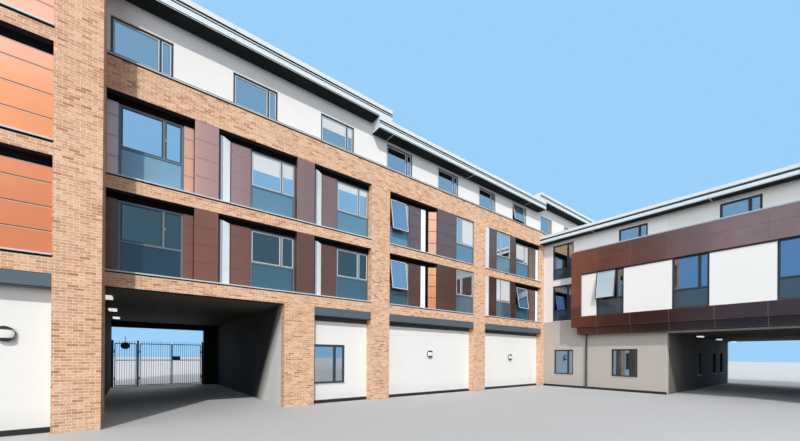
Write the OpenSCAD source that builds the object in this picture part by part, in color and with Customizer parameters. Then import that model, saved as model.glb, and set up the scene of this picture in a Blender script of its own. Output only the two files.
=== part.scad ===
// Courtyard apartment block in two wings, as a half-size model.
// Every size is in millimetres of the model, so a real metre is 500.
// X runs along the long wing, Y goes back from the court, Z is up from the floor.

/* [Storeys] */
// Height of the first-floor sill above the lowest ground
first_sill_z = 2215; // [2150:5:2300]
// From one sill to the next
storey_h = 1420; // [1380:5:1460]
// Depth of the brick band below the first-floor sill
first_band_h = 225; // [180:5:300]
// Depth of the brick band below the second-floor sill
band_h = 210; // [160:5:260]
// Height of the top-floor sill
top_sill_z = 5380; // [5300:5:5450]
// Depth of the brick band below the top-floor sill
top_band_h = 500; // [440:5:560]
// Underside of the low eaves
low_eaves_z = 6025; // [5990:5:6100]
// Height of each roof edge
fascia_h = 250; // [220:5:300]
// Thickness of the upper floors
floor_t = 150; // [100:5:170]

/* [Long wing] */
// Thickness of the outer walls
wall_t = 190; // [170:5:220]
// Depth of the long wing
long_depth = 7000; // [6600:50:7400]
// Width of the west passage
passage_w = 2625; // [2500:5:2750]
// How far its west wall stands back behind the west block's pier
passage_back = 175; // [150:5:185]
// Height of its opening at the rear
passage_rear_h = 1820; // [1750:5:1900]
// Width of the brick pier beside the passage
first_pier_w = 605; // [520:5:650]
// Clear width of the short ground bay
short_bay_w = 1355; // [1300:5:1400]
// Width of the other brick piers
pier_w = 510; // [450:5:560]
// Clear width of the middle bay
middle_bay_w = 3000; // [2960:5:3060]
// Clear width of the east bay
east_bay_w = 3060; // [3020:5:3120]
// Width of the corner pier
corner_pier_w = 185; // [150:5:240]
// How far the eaves stand out from the walls
eaves_out = 300; // [240:5:360]
// How far each upper roof runs over the lower one
roof_lap = 350; // [200:10:500]
// From the low roof's end to the corner pier
roof_step_back = 560; // [500:10:620]

/* [Bay infill] */
// How far the window recesses lie behind the brick
recess = 125; // [90:5:140]
// How far the forward panels lie behind the brick
flush = 10; // [5:1:20]
// Depth of the dark strip over a recessed window
head_trim_h = 100; // [60:5:120]
// Width of a forward brown panel in the west bay
forward_w = 355; // [320:5:370]
// Width of a dark strip beside a splay
strip_w = 70; // [50:5:80]
// Width of a white splay, measured along the wall
splay_w = 145; // [120:5:150]
// Width of the large windows in the west bay
wide_window_w = 835; // [800:5:840]
// Width of the forward windows in the other bays
window_w = 730; // [700:5:750]

/* [Windows] */
// Width of a frame bar
frame_bar = 30; // [24:1:40]
// Depth of a frame
frame_t = 40; // [30:1:50]
// Thickness of the glass
glass_t = 12; // [8:1:16]
// Height of the solid panel under a window
spandrel_h = 460; // [420:5:500]
// Share of a window's width that its large pane takes
large_share = 0.68; // [0.6:0.01:0.75]
// Angle of the open top-hung sashes
sash_angle = 9; // [6:1:14]
// Share of its window's width that an open sash in a bay takes
open_share = 0.84; // [0.8:0.01:0.86]
// How far that sash reaches down over the solid panel
sash_lap = 110; // [60:10:120]
// Width of a top-floor window
top_window_w = 775; // [700:5:800]
// Height of a top-floor window
top_window_h = 560; // [520:5:580]
// From one top-floor window to the next
top_pitch = 1655; // [1630:5:1670]

/* [Ground floor] */
// Height of the blue-grey fascia over a ground bay
shopfront_h = 175; // [140:5:220]
// How far the white ground walls lie behind the brick
ground_recess = 180; // [150:5:190]
// Thickness of the white ground walls
ground_wall_t = 120; // [100:5:150]
// Height of the dark plinth
plinth_h = 70; // [50:5:100]
// Thickness of the dark plinth
plinth_t = 10; // [6:1:15]

/* [West block] */
// Width of the projecting west block
block_w = 2390; // [2300:10:2500]
// How far the west block stands forward
block_out = 565; // [500:5:620]
// Width of its brick piers
block_pier_w = 470; // [430:5:500]
// Depth of its brick bands
block_band_h = 180; // [150:5:220]
// Top of its parapet
parapet_z = 6700; // [6650:10:6900]

/* [Short wing] */
// Depth of the short wing
short_depth = 7900; // [7500:50:8200]
// Underside of its eaves
short_eaves_z = 4940; // [4900:5:4980]
// Height of its roof edge
short_fascia_h = 230; // [200:5:260]
// Height of the passage through it
short_passage_h = 1685; // [1640:5:1720]
// Where that passage starts, from the long wing
short_passage_y = 3575; // [3500:5:3620]
// Width of that passage
short_passage_w = 2990; // [2900:5:3050]
// Thickness of its render walls
render_t = 160; // [140:5:180]

/* [Brown box] */
// How far the box stands out from the court wall
box_out = 350; // [300:5:400]
// Where the box starts, from the long wing
box_start = 1140; // [1120:5:1160]
// Underside of the box
box_z = 1955; // [1940:5:1980]
// Top of the box
box_top_z = 4370; // [4350:5:4400]
// Height of its lower band
box_low_h = 335; // [300:5:340]
// Height of its upper band
box_high_h = 745; // [720:5:770]
// Width of its end bands
box_side_w = 300; // [280:5:320]
// Thickness of the bands
box_band_t = 150; // [120:5:170]
// From the end of the box to its first window
box_first = 735; // [700:5:760]
// From one box window to the next
box_pitch = 1880; // [1860:5:1900]
// Width of a box window
box_window_w = 750; // [720:5:780]

/* [Gates] */
// Side of the square gate posts
post_w = 50; // [44:1:60]
// Height of the gate posts
post_h = 1425; // [1415:5:1500]
// Height of the upper rail of the gates
gate_top_z = 1335; // [1280:5:1345]
// Height of their middle rail
gate_mid_z = 805; // [700:5:830]
// How far the bars rise above the upper rail
gate_tip = 70; // [50:5:75]
// Gap below the gates
gate_floor_gap = 30; // [25:1:60]
// Height of the bar on the floor between the posts
threshold_h = 12; // [8:1:15]
// Width between the posts of the foot gate
foot_gate_w = 560; // [500:5:600]
// Width of the car gates' opening
car_gap_w = 1705; // [1600:5:1800]
// Thickness of a gate frame
gate_t = 24; // [20:1:28]
// Side of a gate bar
gate_bar = 10; // [8:1:12]
// From one gate bar to the next, about
gate_bar_pitch = 60; // [54:1:70]
// Radius of a hinge pin
pin_r = 6; // [5:0.5:7]
// Clearance round a hinge pin
pin_gap = 0.3; // [0.2:0.1:0.5]
// Clearance between a gate and what it passes
gate_gap = 8; // [6:1:10]

/* [Fittings] */
// Radius of the round wall lights
light_r = 88; // [70:1:100]
// Radius of the rainwater pipe
pipe_r = 25; // [20:1:30]
// Where the rainwater pipe stands, from the long wing
pipe_x = 1475; // [1450:5:1500]
// Depth of the lights under the passage ceilings
ceiling_light_t = 25; // [20:1:30]

/* [Hidden] */

brick = [0.66, 0.42, 0.30];
render_white = [0.93, 0.93, 0.90];
brown = [0.42, 0.24, 0.20];
slate_blue = [0.27, 0.35, 0.42];
frame_grey = [0.62, 0.66, 0.70];
glass_blue = [0.50, 0.66, 0.80, 0.5];
light_grey = [0.80, 0.80, 0.79];
concrete = [0.62, 0.61, 0.58];
black = [0.08, 0.08, 0.09];
eps = 0.01;

// Heights worked out from the storeys
second_sill_z = first_sill_z + storey_h;
third_sill_z = second_sill_z + storey_h;
first_head_z = second_sill_z - band_h;
second_head_z = top_sill_z - top_band_h;
high_eaves_z = low_eaves_z + fascia_h;
band_foot_z = first_sill_z - first_band_h;
first_floor_z = first_sill_z - 30;
second_floor_z = second_sill_z - 30;
top_floor_z = third_sill_z - 30;

// Places along the long wing
bay_a_end = passage_w + first_pier_w + short_bay_w;
bay_b_x = bay_a_end + pier_w;
bay_b_end = bay_b_x + middle_bay_w;
bay_c_x = bay_b_end + pier_w;
bay_c_end = bay_c_x + east_bay_w;
corner_x = bay_c_end + corner_pier_w;
east_x = corner_x + short_depth;
west_x = -block_w;
roof_step_b = bay_a_end;
roof_step_c = bay_c_end - roof_step_back + roof_lap;

// Places along the short wing, measured from the long wing
box_len = 2 * box_first + 3 * box_pitch + box_window_w;
short_len = box_len + 2 * box_start;
passage_end = short_passage_y + short_passage_w;

// The origin is under the middle of the whole building
short_out = eaves_out + 10;
mid_x = (west_x + east_x + short_out) / 2;
mid_y = (long_depth + eaves_out - short_len - short_out) / 2;

module place() {
  translate([-mid_x, -mid_y, 0]) children();
}

module cuboid(x0, x1, y0, y1, z0, z1) {
  translate([x0, y0, z0]) cube([x1 - x0, y1 - y0, z1 - z0]);
}

// Turns a wall drawn along X into one that runs along the short wing
module along_court(x) {
  translate([x, 0, 0]) rotate([0, 0, -90]) children();
}

// A bay is a row of pieces, each with a kind and a width; a low open window is open in one storey
forward_run = [["front", forward_w], ["strip", strip_w], ["splay", splay_w]];
bay_a_rest = bay_a_end - 2 * (forward_w + strip_w + splay_w) - 2 * wide_window_w - 965;
bay_a = concat([["panel", 140], ["window", wide_window_w], ["panel", 145]], forward_run,
  [["panel", 335], ["window", wide_window_w]], forward_run, [["panel", 345], ["window", bay_a_rest]]);
bay_b_rest = middle_bay_w - window_w - 1660;
bay_b = [["dark", 80], ["open window", bay_b_rest], ["panel", 385], ["white", 170], ["dark", 80],
  ["ramp", 190], ["strip", 30], ["front", 725], ["front window", window_w]];
bay_c_rest = east_bay_w - window_w - 1600;
bay_c = [["white front", 175], ["front", 370], ["front window", window_w], ["front", 240],
  ["panel", 220], ["low open window", bay_c_rest], ["panel", 390], ["dark", 40], ["white", 165]];
bays = [[0, bay_a], [bay_b_x, bay_b], [bay_c_x, bay_c]];
storeys = [[first_sill_z, first_head_z], [second_sill_z, second_head_z]];
sill_t = 20;

function start_of(row, i) = i == 0 ? 0 : start_of(row, i - 1) + row[i - 1][1];
function among(kind, kinds) = len([for (k = kinds) if (k == kind) k]) > 0;
function is_recessed(kind) = !among(kind, ["front", "front window", "white front"]);
function is_window(kind) = among(kind, ["window", "open window", "low open window", "front window"]);
function left_y(kind) = among(kind, ["panel", "white", "dark", "ramp"]) ? recess
  : among(kind, ["strip", "splay"]) ? 2 * flush : flush;
function right_y(kind) = among(kind, ["panel", "white", "dark", "splay"]) ? recess
  : kind == "strip" ? 2 * flush : flush;

// One upright infill piece, in plan a quadrilateral that reaches the wall's back
module infill(x0, x1, y0, y1, z0, z1) {
  translate([0, 0, z0]) linear_extrude(z1 - z0)
    polygon([[x0, y0], [x1, y1], [x1, wall_t], [x0, wall_t]]);
}

module infill_of(kinds) {
  for (bay = bays, storey = storeys, i = [0 : len(bay[1]) - 1]) {
    kind = bay[1][i][0];
    x0 = bay[0] + start_of(bay[1], i);
    if (among(kind, kinds))
      infill(x0, x0 + bay[1][i][1], left_y(kind), right_y(kind),
        storey[0] + sill_t, storey[1] - (is_recessed(kind) ? head_trim_h : 0));
  }
}

// A frame with one upright, and a rail over a solid panel where low_h is more than 0
module frame_bars(w, h, share, low_h) {
  foot = low_h > 0 ? low_h : 0;
  difference() {
    cube([w, frame_t, h]);
    translate([frame_bar, -eps, foot + frame_bar])
      cube([share * w - 1.5 * frame_bar, frame_t + 2 * eps, h - foot - 2 * frame_bar]);
    translate([share * w + frame_bar / 2, -eps, foot + frame_bar])
      cube([w - share * w - 1.5 * frame_bar, frame_t + 2 * eps, h - foot - 2 * frame_bar]);
    if (low_h > 0)
      translate([frame_bar, -eps, frame_bar])
        cube([w - 2 * frame_bar, frame_t + 2 * eps, low_h - frame_bar]);
  }
}

// The panes of such a frame; the large one is left out where its sash stands open
module frame_panes(w, h, share, low_h, is_open) {
  pane_y = (frame_t - glass_t) / 2;
  if (!is_open)
    translate([frame_bar, pane_y, low_h + frame_bar])
      cube([share * w - 1.5 * frame_bar, glass_t, h - low_h - 2 * frame_bar]);
  translate([share * w + frame_bar / 2, pane_y, low_h + frame_bar])
    cube([w - share * w - 1.5 * frame_bar, glass_t, h - low_h - 2 * frame_bar]);
}

module spandrel(w, low_h) {
  translate([frame_bar, frame_t / 4, frame_bar])
    cube([w - 2 * frame_bar, frame_t / 2, low_h - frame_bar]);
}

// A top-hung sash that stands open in front of the large pane
module open_sash(w, h, share, low_h) {
  sash_w = share * w - frame_bar;
  sash_h = h - low_h - frame_bar;
  sash_bar = 26;
  sash_t = 22;
  translate([frame_bar / 2, 0, h - frame_bar / 2]) rotate([-sash_angle, 0, 0])
    translate([0, -sash_t, -sash_h]) difference() {
      cube([sash_w, sash_t, sash_h]);
      translate([sash_bar, -eps, sash_bar])
        cube([sash_w - 2 * sash_bar, sash_t / 2, sash_h - 2 * sash_bar]);
    }
}

module front_windows(what) {
  for (bay = bays, storey = storeys, i = [0 : len(bay[1]) - 1]) {
    kind = bay[1][i][0];
    w = bay[1][i][1];
    is_front = kind == "front window";
    is_open = kind == "open window" || (kind == "low open window" && storey[0] == first_sill_z);
    h = storey[1] - storey[0] - sill_t - (is_front ? 0 : head_trim_h);
    share = is_front ? 1 - large_share : is_open ? open_share : large_share;
    if (is_window(kind))
      translate([bay[0] + start_of(bay[1], i), (is_front ? flush : recess) + 15, storey[0] + sill_t]) {
        if (what == "frame") frame_bars(w, h, share, spandrel_h);
        if (what == "glass") frame_panes(w, h, share, spandrel_h, is_open);
        if (what == "spandrel") spandrel(w, spandrel_h);
        if (what == "sash" && is_open) open_sash(w, h, share, spandrel_h - sash_lap);
      }
  }
}

module front_piers() {
  color(brick) place() {
    cuboid(passage_w, passage_w + first_pier_w, 0, wall_t, 0, band_foot_z);
    cuboid(-wall_t, 0, -block_out + wall_t, wall_t, 0, band_foot_z);
    for (x = [[bay_a_end, pier_w], [bay_b_end, pier_w], [bay_c_end, corner_pier_w]]) {
      cuboid(x[0], x[0] + x[1], 0, wall_t, 0, band_foot_z);
      cuboid(x[0], x[0] + x[1], 0, wall_t, first_sill_z, first_head_z);
      cuboid(x[0], x[0] + x[1], 0, wall_t, second_sill_z, second_head_z);
    }
  }
}

module front_bands() {
  color(brick) place() {
    cuboid(0, corner_x, 0, wall_t, band_foot_z, first_sill_z);
    cuboid(0, corner_x, 0, wall_t, first_head_z, second_sill_z);
    cuboid(0, east_x - wall_t, 0, wall_t, second_head_z, top_sill_z);
  }
}

module front_brown_panels() {
  color(brown) place() infill_of(["panel", "front", "ramp"]);
}

module front_white_panels() {
  color(render_white) place() infill_of(["white", "splay", "white front"]);
}

// Dark upright strips, and the dark strip over each recessed piece
module front_dark_strips() {
  color(slate_blue) place() {
    infill_of(["strip", "dark"]);
    for (bay = bays, storey = storeys, i = [0 : len(bay[1]) - 1]) {
      x0 = bay[0] + start_of(bay[1], i);
      if (is_recessed(bay[1][i][0]))
        cuboid(x0, x0 + bay[1][i][1], recess, wall_t, storey[1] - head_trim_h, storey[1]);
    }
  }
}

module front_window_frames() {
  color(frame_grey) place() front_windows("frame");
}

module front_window_glass() {
  color(glass_blue) place() front_windows("glass");
}

module front_spandrels() {
  color(slate_blue) place() front_windows("spandrel");
}

module open_sashes() {
  color(frame_grey) place() {
    front_windows("sash");
    top_windows("sash");
    along_court(corner_x) court_window_set("sash");
  }
}

// Metal sills along the tops of the brick bands
module front_sills() {
  lip = 20;
  x0 = west_x + block_pier_w;
  color(slate_blue) place() {
    for (bay = bays, storey = storeys) {
      w = start_of(bay[1], len(bay[1]));
      cuboid(bay[0], bay[0] + w, -lip, wall_t, storey[0], storey[0] + sill_t);
    }
    cuboid(0, east_x - wall_t, -lip, wall_t, top_sill_z, top_sill_z + sill_t);
    for (z = [first_sill_z, second_sill_z, third_sill_z])
      cuboid(x0, -block_pier_w, -block_out - lip, -block_out + wall_t, z, z + sill_t);
  }
}

fascia_foot_z = band_foot_z - shopfront_h;
ground_bays = [[passage_w + first_pier_w, short_bay_w, 0], [bay_b_x, middle_bay_w, 0],
  [bay_c_x, east_bay_w, 0], [west_x + block_pier_w, block_w - 2 * block_pier_w, -block_out]];
ground_window = [60, 400, 735, 835];

module ground_walls() {
  color(render_white) place() {
    for (i = [0 : len(ground_bays) - 1]) {
      x = ground_bays[i][0];
      y = ground_bays[i][2] + ground_recess;
      difference() {
        cuboid(x, x + ground_bays[i][1], y, y + ground_wall_t, 0, fascia_foot_z);
        if (i == 0)
          translate([x + ground_window[0], y - 1, ground_window[1]])
            cube([ground_window[2], ground_wall_t + 2, ground_window[3]]);
      }
    }
  }
}

module ground_fascias() {
  color(slate_blue) place() {
    for (bay = ground_bays)
      cuboid(bay[0], bay[0] + bay[1], bay[2] + 5, bay[2] + ground_recess + ground_wall_t,
        fascia_foot_z, band_foot_z);
  }
}

// Dark plinth strips against the white walls
module plinths() {
  t = plinth_t;
  color(black) place() {
    for (bay = ground_bays)
      cuboid(bay[0], bay[0] + bay[1], bay[2] + ground_recess - t, bay[2] + ground_recess, 0, plinth_h);
    along_court(corner_x) {
      translate([0, -t, 0]) cube([short_passage_y, t, plinth_h]);
      translate([passage_end, -t, 0]) cube([short_len - passage_end, t, plinth_h]);
    }
  }
}

top_wall_y = 15;
top_window_x = 40;
top_window_z = top_sill_z + sill_t + 10;
top_window_count = floor((east_x - wall_t - top_window_x) / top_pitch);
open_top_window = 6;

// White wall of the top floor, lower under the middle roof
module top_wall() {
  z0 = top_sill_z + sill_t;
  color(render_white) place() difference() {
    union() {
      cuboid(0, roof_step_b, top_wall_y, wall_t, z0, high_eaves_z);
      cuboid(roof_step_b - eps, roof_step_c + eps, top_wall_y, wall_t, z0, low_eaves_z);
      cuboid(roof_step_c, east_x - wall_t, top_wall_y, wall_t, z0, high_eaves_z);
    }
    for (i = [0 : top_window_count - 1])
      translate([top_window_x + i * top_pitch, -1, top_window_z])
        cube([top_window_w, wall_t + 2, top_window_h]);
  }
}

module top_windows(what) {
  for (i = [0 : top_window_count - 1]) {
    is_open = i == open_top_window;
    translate([top_window_x + i * top_pitch, top_wall_y + 20, top_window_z]) {
      if (what == "frame") frame_bars(top_window_w, top_window_h, 0.78, 0);
      if (what == "glass") frame_panes(top_window_w, top_window_h, 0.78, 0, is_open);
      if (what == "sash" && is_open) open_sash(top_window_w, top_window_h, 0.78, 0);
    }
  }
}

// The ground-floor window stands in the first white wall
module ground_window_place() {
  translate([ground_bays[0][0] + ground_window[0], ground_recess + 20, ground_window[1]])
    children();
}

module top_window_frames() {
  color(frame_grey) place() {
    top_windows("frame");
    ground_window_place() frame_bars(ground_window[2], ground_window[3], large_share, 0);
  }
}

module top_window_glass() {
  color(glass_blue) place() {
    top_windows("glass");
    ground_window_place() frame_panes(ground_window[2], ground_window[3], large_share, 0, false);
  }
}

// West block: the piers, bands and brown panels of its front, and its plain brick sides
module block_piers() {
  color(brick) place() {
    for (x = [west_x, -block_pier_w])
      cuboid(x, x + block_pier_w, -block_out, -block_out + wall_t, 0, parapet_z);
  }
}

module block_bands() {
  x0 = west_x + block_pier_w;
  y1 = -block_out + wall_t;
  color(brick) place() {
    cuboid(x0, -block_pier_w, -block_out, y1, band_foot_z, first_sill_z);
    cuboid(x0, -block_pier_w, -block_out, y1, second_sill_z - block_band_h, second_sill_z);
    cuboid(x0, -block_pier_w, -block_out, y1, third_sill_z - block_band_h, third_sill_z);
    cuboid(x0, -block_pier_w, -block_out, y1, high_eaves_z, parapet_z);
  }
}

module block_panels() {
  x0 = west_x + block_pier_w;
  y0 = -block_out + recess;
  color(brown) place() {
    for (z = [first_sill_z, second_sill_z])
      cuboid(x0, -block_pier_w, y0, -block_out + wall_t, z + sill_t, z + storey_h - block_band_h);
    cuboid(x0, -block_pier_w, y0, -block_out + wall_t, third_sill_z + sill_t, high_eaves_z);
  }
}

module block_side_walls() {
  color(brick) place() {
    cuboid(west_x, west_x + wall_t, -block_out + wall_t, long_depth, 0, parapet_z);
    cuboid(-wall_t, 0, -block_out + wall_t, long_depth - wall_t, band_foot_z, parapet_z);
  }
}

// Side walls of the west passage
module passage_walls() {
  color(render_white) place() {
    cuboid(passage_w, passage_w + ground_wall_t, wall_t, long_depth - wall_t, 0, band_foot_z);
    cuboid(-passage_back - wall_t, -passage_back, wall_t, long_depth - wall_t, 0, band_foot_z);
  }
}

// The inner wall between the two wings
module party_wall() {
  color(render_white) place()
    cuboid(corner_x, east_x - wall_t, 0, wall_t, 0, second_head_z);
}

module floors() {
  x1 = east_x - wall_t;
  y1 = long_depth - wall_t;
  color(concrete) place() {
    cuboid(0, x1, wall_t, y1, band_foot_z, first_floor_z);
    cuboid(west_x + wall_t, -wall_t, -block_out + wall_t, y1, band_foot_z, first_floor_z);
    for (z = [second_floor_z, top_floor_z]) {
      cuboid(0, x1, wall_t, y1, z - floor_t, z);
      cuboid(west_x + wall_t, -wall_t, -block_out + wall_t, y1, z - floor_t, z);
    }
    cuboid(passage_w + ground_wall_t, x1, ground_recess + ground_wall_t, y1, 0, 100);
    cuboid(corner_x + render_t, east_x - render_t, -short_len + render_t, 0,
      short_passage_h, first_floor_z);
    cuboid(corner_x + render_t, east_x - render_t, -short_len + render_t, 0,
      second_floor_z - floor_t, second_floor_z);
  }
}

// The unseen sides repeat plain windows, one column to each pitch
rear_window = [700, 850];
rear_first_x = 300;
rear_count = floor((east_x - wall_t - rear_first_x) / top_pitch);
over_count = floor((passage_w + ground_wall_t - rear_first_x) / top_pitch) + 1;
upper_storeys = [first_floor_z + 430, second_floor_z + 430];
east_ys = [1500, 4700];
end_xs = [900, 2800, 4700, 6300];
short_ys = [600, 2300, 3900, 5500, 7200, 8900];

module back_holes() {
  for (i = [0 : rear_count - 1]) {
    for (z = upper_storeys) translate([rear_first_x + i * top_pitch, 0, z]) children(0);
    translate([rear_first_x + i * top_pitch, 0, top_window_z]) children(1);
    if (i >= over_count) translate([rear_first_x + i * top_pitch, 0, 430]) children(0);
  }
}

module east_holes() {
  for (y = east_ys) {
    for (z = concat([430], upper_storeys)) translate([y, 0, z]) children(0);
    translate([y, 0, top_window_z]) children(1);
  }
}

module end_holes() {
  for (x = end_xs, z = concat([430], upper_storeys)) translate([x, 0, z]) children(0);
}

module short_rear_holes() {
  for (y = short_ys) {
    for (z = upper_storeys) translate([y, 0, z]) children(0);
    if (y + rear_window[0] < short_passage_y || y > passage_end)
      translate([y, 0, 430]) children(0);
  }
}

module hole_cutters(t) {
  translate([0, -1, 0]) cube([rear_window[0], t + 2, rear_window[1]]);
}

module low_hole_cutters(t) {
  translate([0, -1, 0]) cube([rear_window[0], t + 2, top_window_h]);
}

// The four plain outer faces, each drawn along X with its outside towards -Y
module on_back() {
  translate([0, long_depth, 0]) mirror([0, 1, 0]) children();
}

module on_east() {
  translate([east_x, 0, 0]) rotate([0, 0, 90]) children();
}

module on_end() {
  translate([corner_x, -short_len, 0]) children();
}

module on_short_rear() {
  translate([east_x, 0, 0]) mirror([1, 0, 0]) rotate([0, 0, -90]) children();
}

// Rear wall of the long wing, on both sides of the passage's narrower far end
jamb_x = 3 * post_w + foot_gate_w + car_gap_w - passage_back;
module back_walls() {
  color(brick) place() on_back() difference() {
    union() {
      cuboid(west_x + wall_t, -passage_back, 0, wall_t, 0, parapet_z);
      cuboid(jamb_x, passage_w + ground_wall_t + 1, 0, wall_t, 0, passage_rear_h);
      cuboid(passage_w + ground_wall_t, east_x, 0, wall_t, 0, high_eaves_z);
    }
    cuboid(roof_step_b, roof_step_c, -1, wall_t + 1, low_eaves_z, high_eaves_z + 1);
    back_holes() {
      hole_cutters(wall_t);
      low_hole_cutters(wall_t);
    }
  }
}

module east_wall() {
  color(brick) place() on_east() difference() {
    cuboid(0, long_depth - wall_t, 0, wall_t, 0, high_eaves_z);
    east_holes() {
      hole_cutters(wall_t);
      low_hole_cutters(wall_t);
    }
  }
}

module short_end_wall() {
  color(render_white) place() on_end() difference() {
    cuboid(render_t, short_depth, 0, render_t, 0, short_eaves_z);
    end_holes() hole_cutters(render_t);
  }
}

module short_rear_walls() {
  color(render_white) place() on_short_rear() difference() {
    union() {
      cuboid(0, short_passage_y, 0, render_t, 0, short_eaves_z);
      cuboid(passage_end, short_len - render_t, 0, render_t, 0, short_eaves_z);
    }
    short_rear_holes() hole_cutters(render_t);
  }
}

// Walls above the three passage mouths that have one
module walls_over_passages() {
  color(render_white) place() {
    on_back() difference() {
      union() {
        cuboid(-passage_back, passage_w + ground_wall_t, 0, wall_t, passage_rear_h, high_eaves_z);
        cuboid(-passage_back, 0, 0, wall_t, high_eaves_z - eps, parapet_z);
      }
      back_holes() {
        hole_cutters(wall_t);
        low_hole_cutters(wall_t);
      }
    }
    on_short_rear() difference() {
      cuboid(short_passage_y, passage_end, 0, render_t, short_passage_h, short_eaves_z);
      short_rear_holes() hole_cutters(render_t);
    }
    along_court(corner_x) difference() {
      cuboid(short_passage_y, passage_end, 0, render_t, short_passage_h, short_eaves_z);
      court_holes();
    }
  }
}

module rear_set(what) {
  on_back() translate([0, 60, 0]) back_holes() {
    rear_unit(what, rear_window[1]);
    rear_unit(what, top_window_h);
  }
  on_east() translate([0, 60, 0]) east_holes() {
    rear_unit(what, rear_window[1]);
    rear_unit(what, top_window_h);
  }
  on_end() translate([0, 50, 0]) end_holes() rear_unit(what, rear_window[1]);
  on_short_rear() translate([0, 50, 0]) short_rear_holes() rear_unit(what, rear_window[1]);
}

module rear_unit(what, h) {
  if (what == "frame") frame_bars(rear_window[0], h, large_share, 0);
  if (what == "glass") frame_panes(rear_window[0], h, large_share, 0, false);
}

module rear_window_frames() {
  color(frame_grey) place() rear_set("frame");
}

module rear_window_glass() {
  color(glass_blue) place() rear_set("glass");
}

// Section through a roof: a flat deck with a lined board along both eaves
module roof_section(depth, out, h) {
  groove = 18;
  lower = 0.42 * h;
  upper = 0.6 * h;
  line_h = 0.06 * h;
  far = depth + out;
  polygon([[-out + 12, 0], [far - 12, 0], [far - 12, line_h], [far, line_h], [far, lower],
    [far - groove, lower], [far - groove, lower + line_h], [far, lower + line_h],
    [far, upper], [far - groove, upper], [far - groove, upper + line_h], [far + 10, upper + line_h],
    [far + 10, h], [-out - 10, h], [-out - 10, upper + line_h], [-out + groove, upper + line_h],
    [-out + groove, upper], [-out, upper], [-out, lower + line_h], [-out + groove, lower + line_h],
    [-out + groove, lower], [-out, lower], [-out, line_h], [-out + 12, line_h]]);
}

module long_roof(x0, x1, z) {
  translate([x0, 0, z]) rotate([90, 0, 90]) linear_extrude(x1 - x0)
    roof_section(long_depth, eaves_out - 10, fascia_h);
}

// The two high roofs of the long wing, and the roof behind the west block's parapet
module high_roofs() {
  color(light_grey) place() {
    long_roof(0, roof_step_b + roof_lap, high_eaves_z);
    long_roof(roof_step_c - roof_lap, east_x + short_out, high_eaves_z);
    cuboid(west_x + wall_t, -wall_t, -block_out + wall_t, long_depth - wall_t,
      high_eaves_z, high_eaves_z + floor_t);
  }
}

module middle_roof() {
  color(light_grey) place() long_roof(roof_step_b, roof_step_c, low_eaves_z);
}

module short_roof() {
  color(light_grey) place() translate([corner_x, 0, short_eaves_z]) rotate([90, 0, 0])
    linear_extrude(short_len + short_out) roof_section(short_depth, eaves_out, short_fascia_h);
}

// Court wall of the short wing: each window is given as start, height, width and rise
court_near = [[385, 420, 655, 835], [2190, 425, 690, 830], [320, 2235, 715, 1210],
  [320, 3650, 715, 1190]];
court_far = [for (hole = court_near) [short_len - hole[0] - hole[2], hole[1], hole[2], hole[3]]];
court_high = [for (i = [0 : 2]) [2375 + 2258 * i, box_top_z + 60, 742, 405]];
court_windows = concat(court_near, court_far, court_high);
box_window_h = box_top_z - box_high_h - box_z - box_low_h;
box_window_z = box_z + box_low_h;
open_box_windows = [0];

module court_holes() {
  for (hole = court_windows)
    translate([hole[0], -1, hole[1]]) cube([hole[2], render_t + 2, hole[3]]);
  for (i = [0 : 3])
    translate([box_start + box_first + i * box_pitch, -1, box_window_z])
      cube([box_window_w, render_t + 2, box_window_h]);
}

module court_walls() {
  color(render_white) place() along_court(corner_x) difference() {
    union() {
      cuboid(0, short_passage_y, 0, render_t, 0, short_eaves_z);
      cuboid(passage_end, short_len, 0, render_t, 0, short_eaves_z);
    }
    court_holes();
  }
}

module court_window_set(what) {
  for (hole = court_windows) {
    low = hole[1] > 2000 && hole[3] > 1000 ? 340 : 0;
    translate([hole[0], 30, hole[1]]) {
      if (what == "frame") frame_bars(hole[2], hole[3], 0.72, low);
      if (what == "glass") frame_panes(hole[2], hole[3], 0.72, low, false);
      if (what == "glass" && low > 0) spandrel(hole[2], low);
    }
  }
  for (i = [0 : 3]) {
    is_open = among(i, open_box_windows);
    translate([box_start + box_first + i * box_pitch, -box_out + 70, box_window_z]) {
      if (what == "frame") frame_bars(box_window_w, box_window_h, 0.74, spandrel_h);
      if (what == "glass") frame_panes(box_window_w, box_window_h, 0.74, spandrel_h, is_open);
      if (what == "glass") spandrel(box_window_w, spandrel_h);
      if (what == "sash" && is_open) open_sash(box_window_w, box_window_h, 0.74, spandrel_h);
    }
  }
}

module court_window_frames() {
  color(frame_grey) place() along_court(corner_x) court_window_set("frame");
}

module court_window_glass() {
  color(glass_blue) place() along_court(corner_x) court_window_set("glass");
}

module box_bands() {
  color(brown) place() along_court(corner_x) {
    translate([box_start, -box_out, box_z]) cube([box_len, box_band_t, box_low_h]);
    translate([box_start, -box_out, box_top_z - box_high_h]) cube([box_len, box_band_t, box_high_h]);
  }
}

module box_end_bands() {
  color(brown) place() along_court(corner_x) {
    for (x = [box_start, box_start + box_len - box_side_w])
      translate([x, -box_out, box_window_z]) cube([box_side_w, box_out, box_window_h]);
  }
}

module box_white_panels() {
  set_back = 40;
  color(render_white) place() along_court(corner_x) {
    for (i = [0 : 4]) {
      x0 = i == 0 ? box_side_w : box_first + (i - 1) * box_pitch + box_window_w;
      x1 = i == 4 ? box_len - box_side_w : box_first + i * box_pitch;
      translate([box_start + x0, -box_out + set_back, box_window_z])
        cube([x1 - x0, box_band_t - set_back, box_window_h]);
    }
  }
}

// The set-back band under the box, which also carries it
module box_base() {
  back = 100;
  side = 140;
  color(brown) place() along_court(corner_x)
    translate([box_start + side, -box_out + back, box_z - 220])
      cube([box_len - 2 * side, box_out - back, 220]);
}

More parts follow.
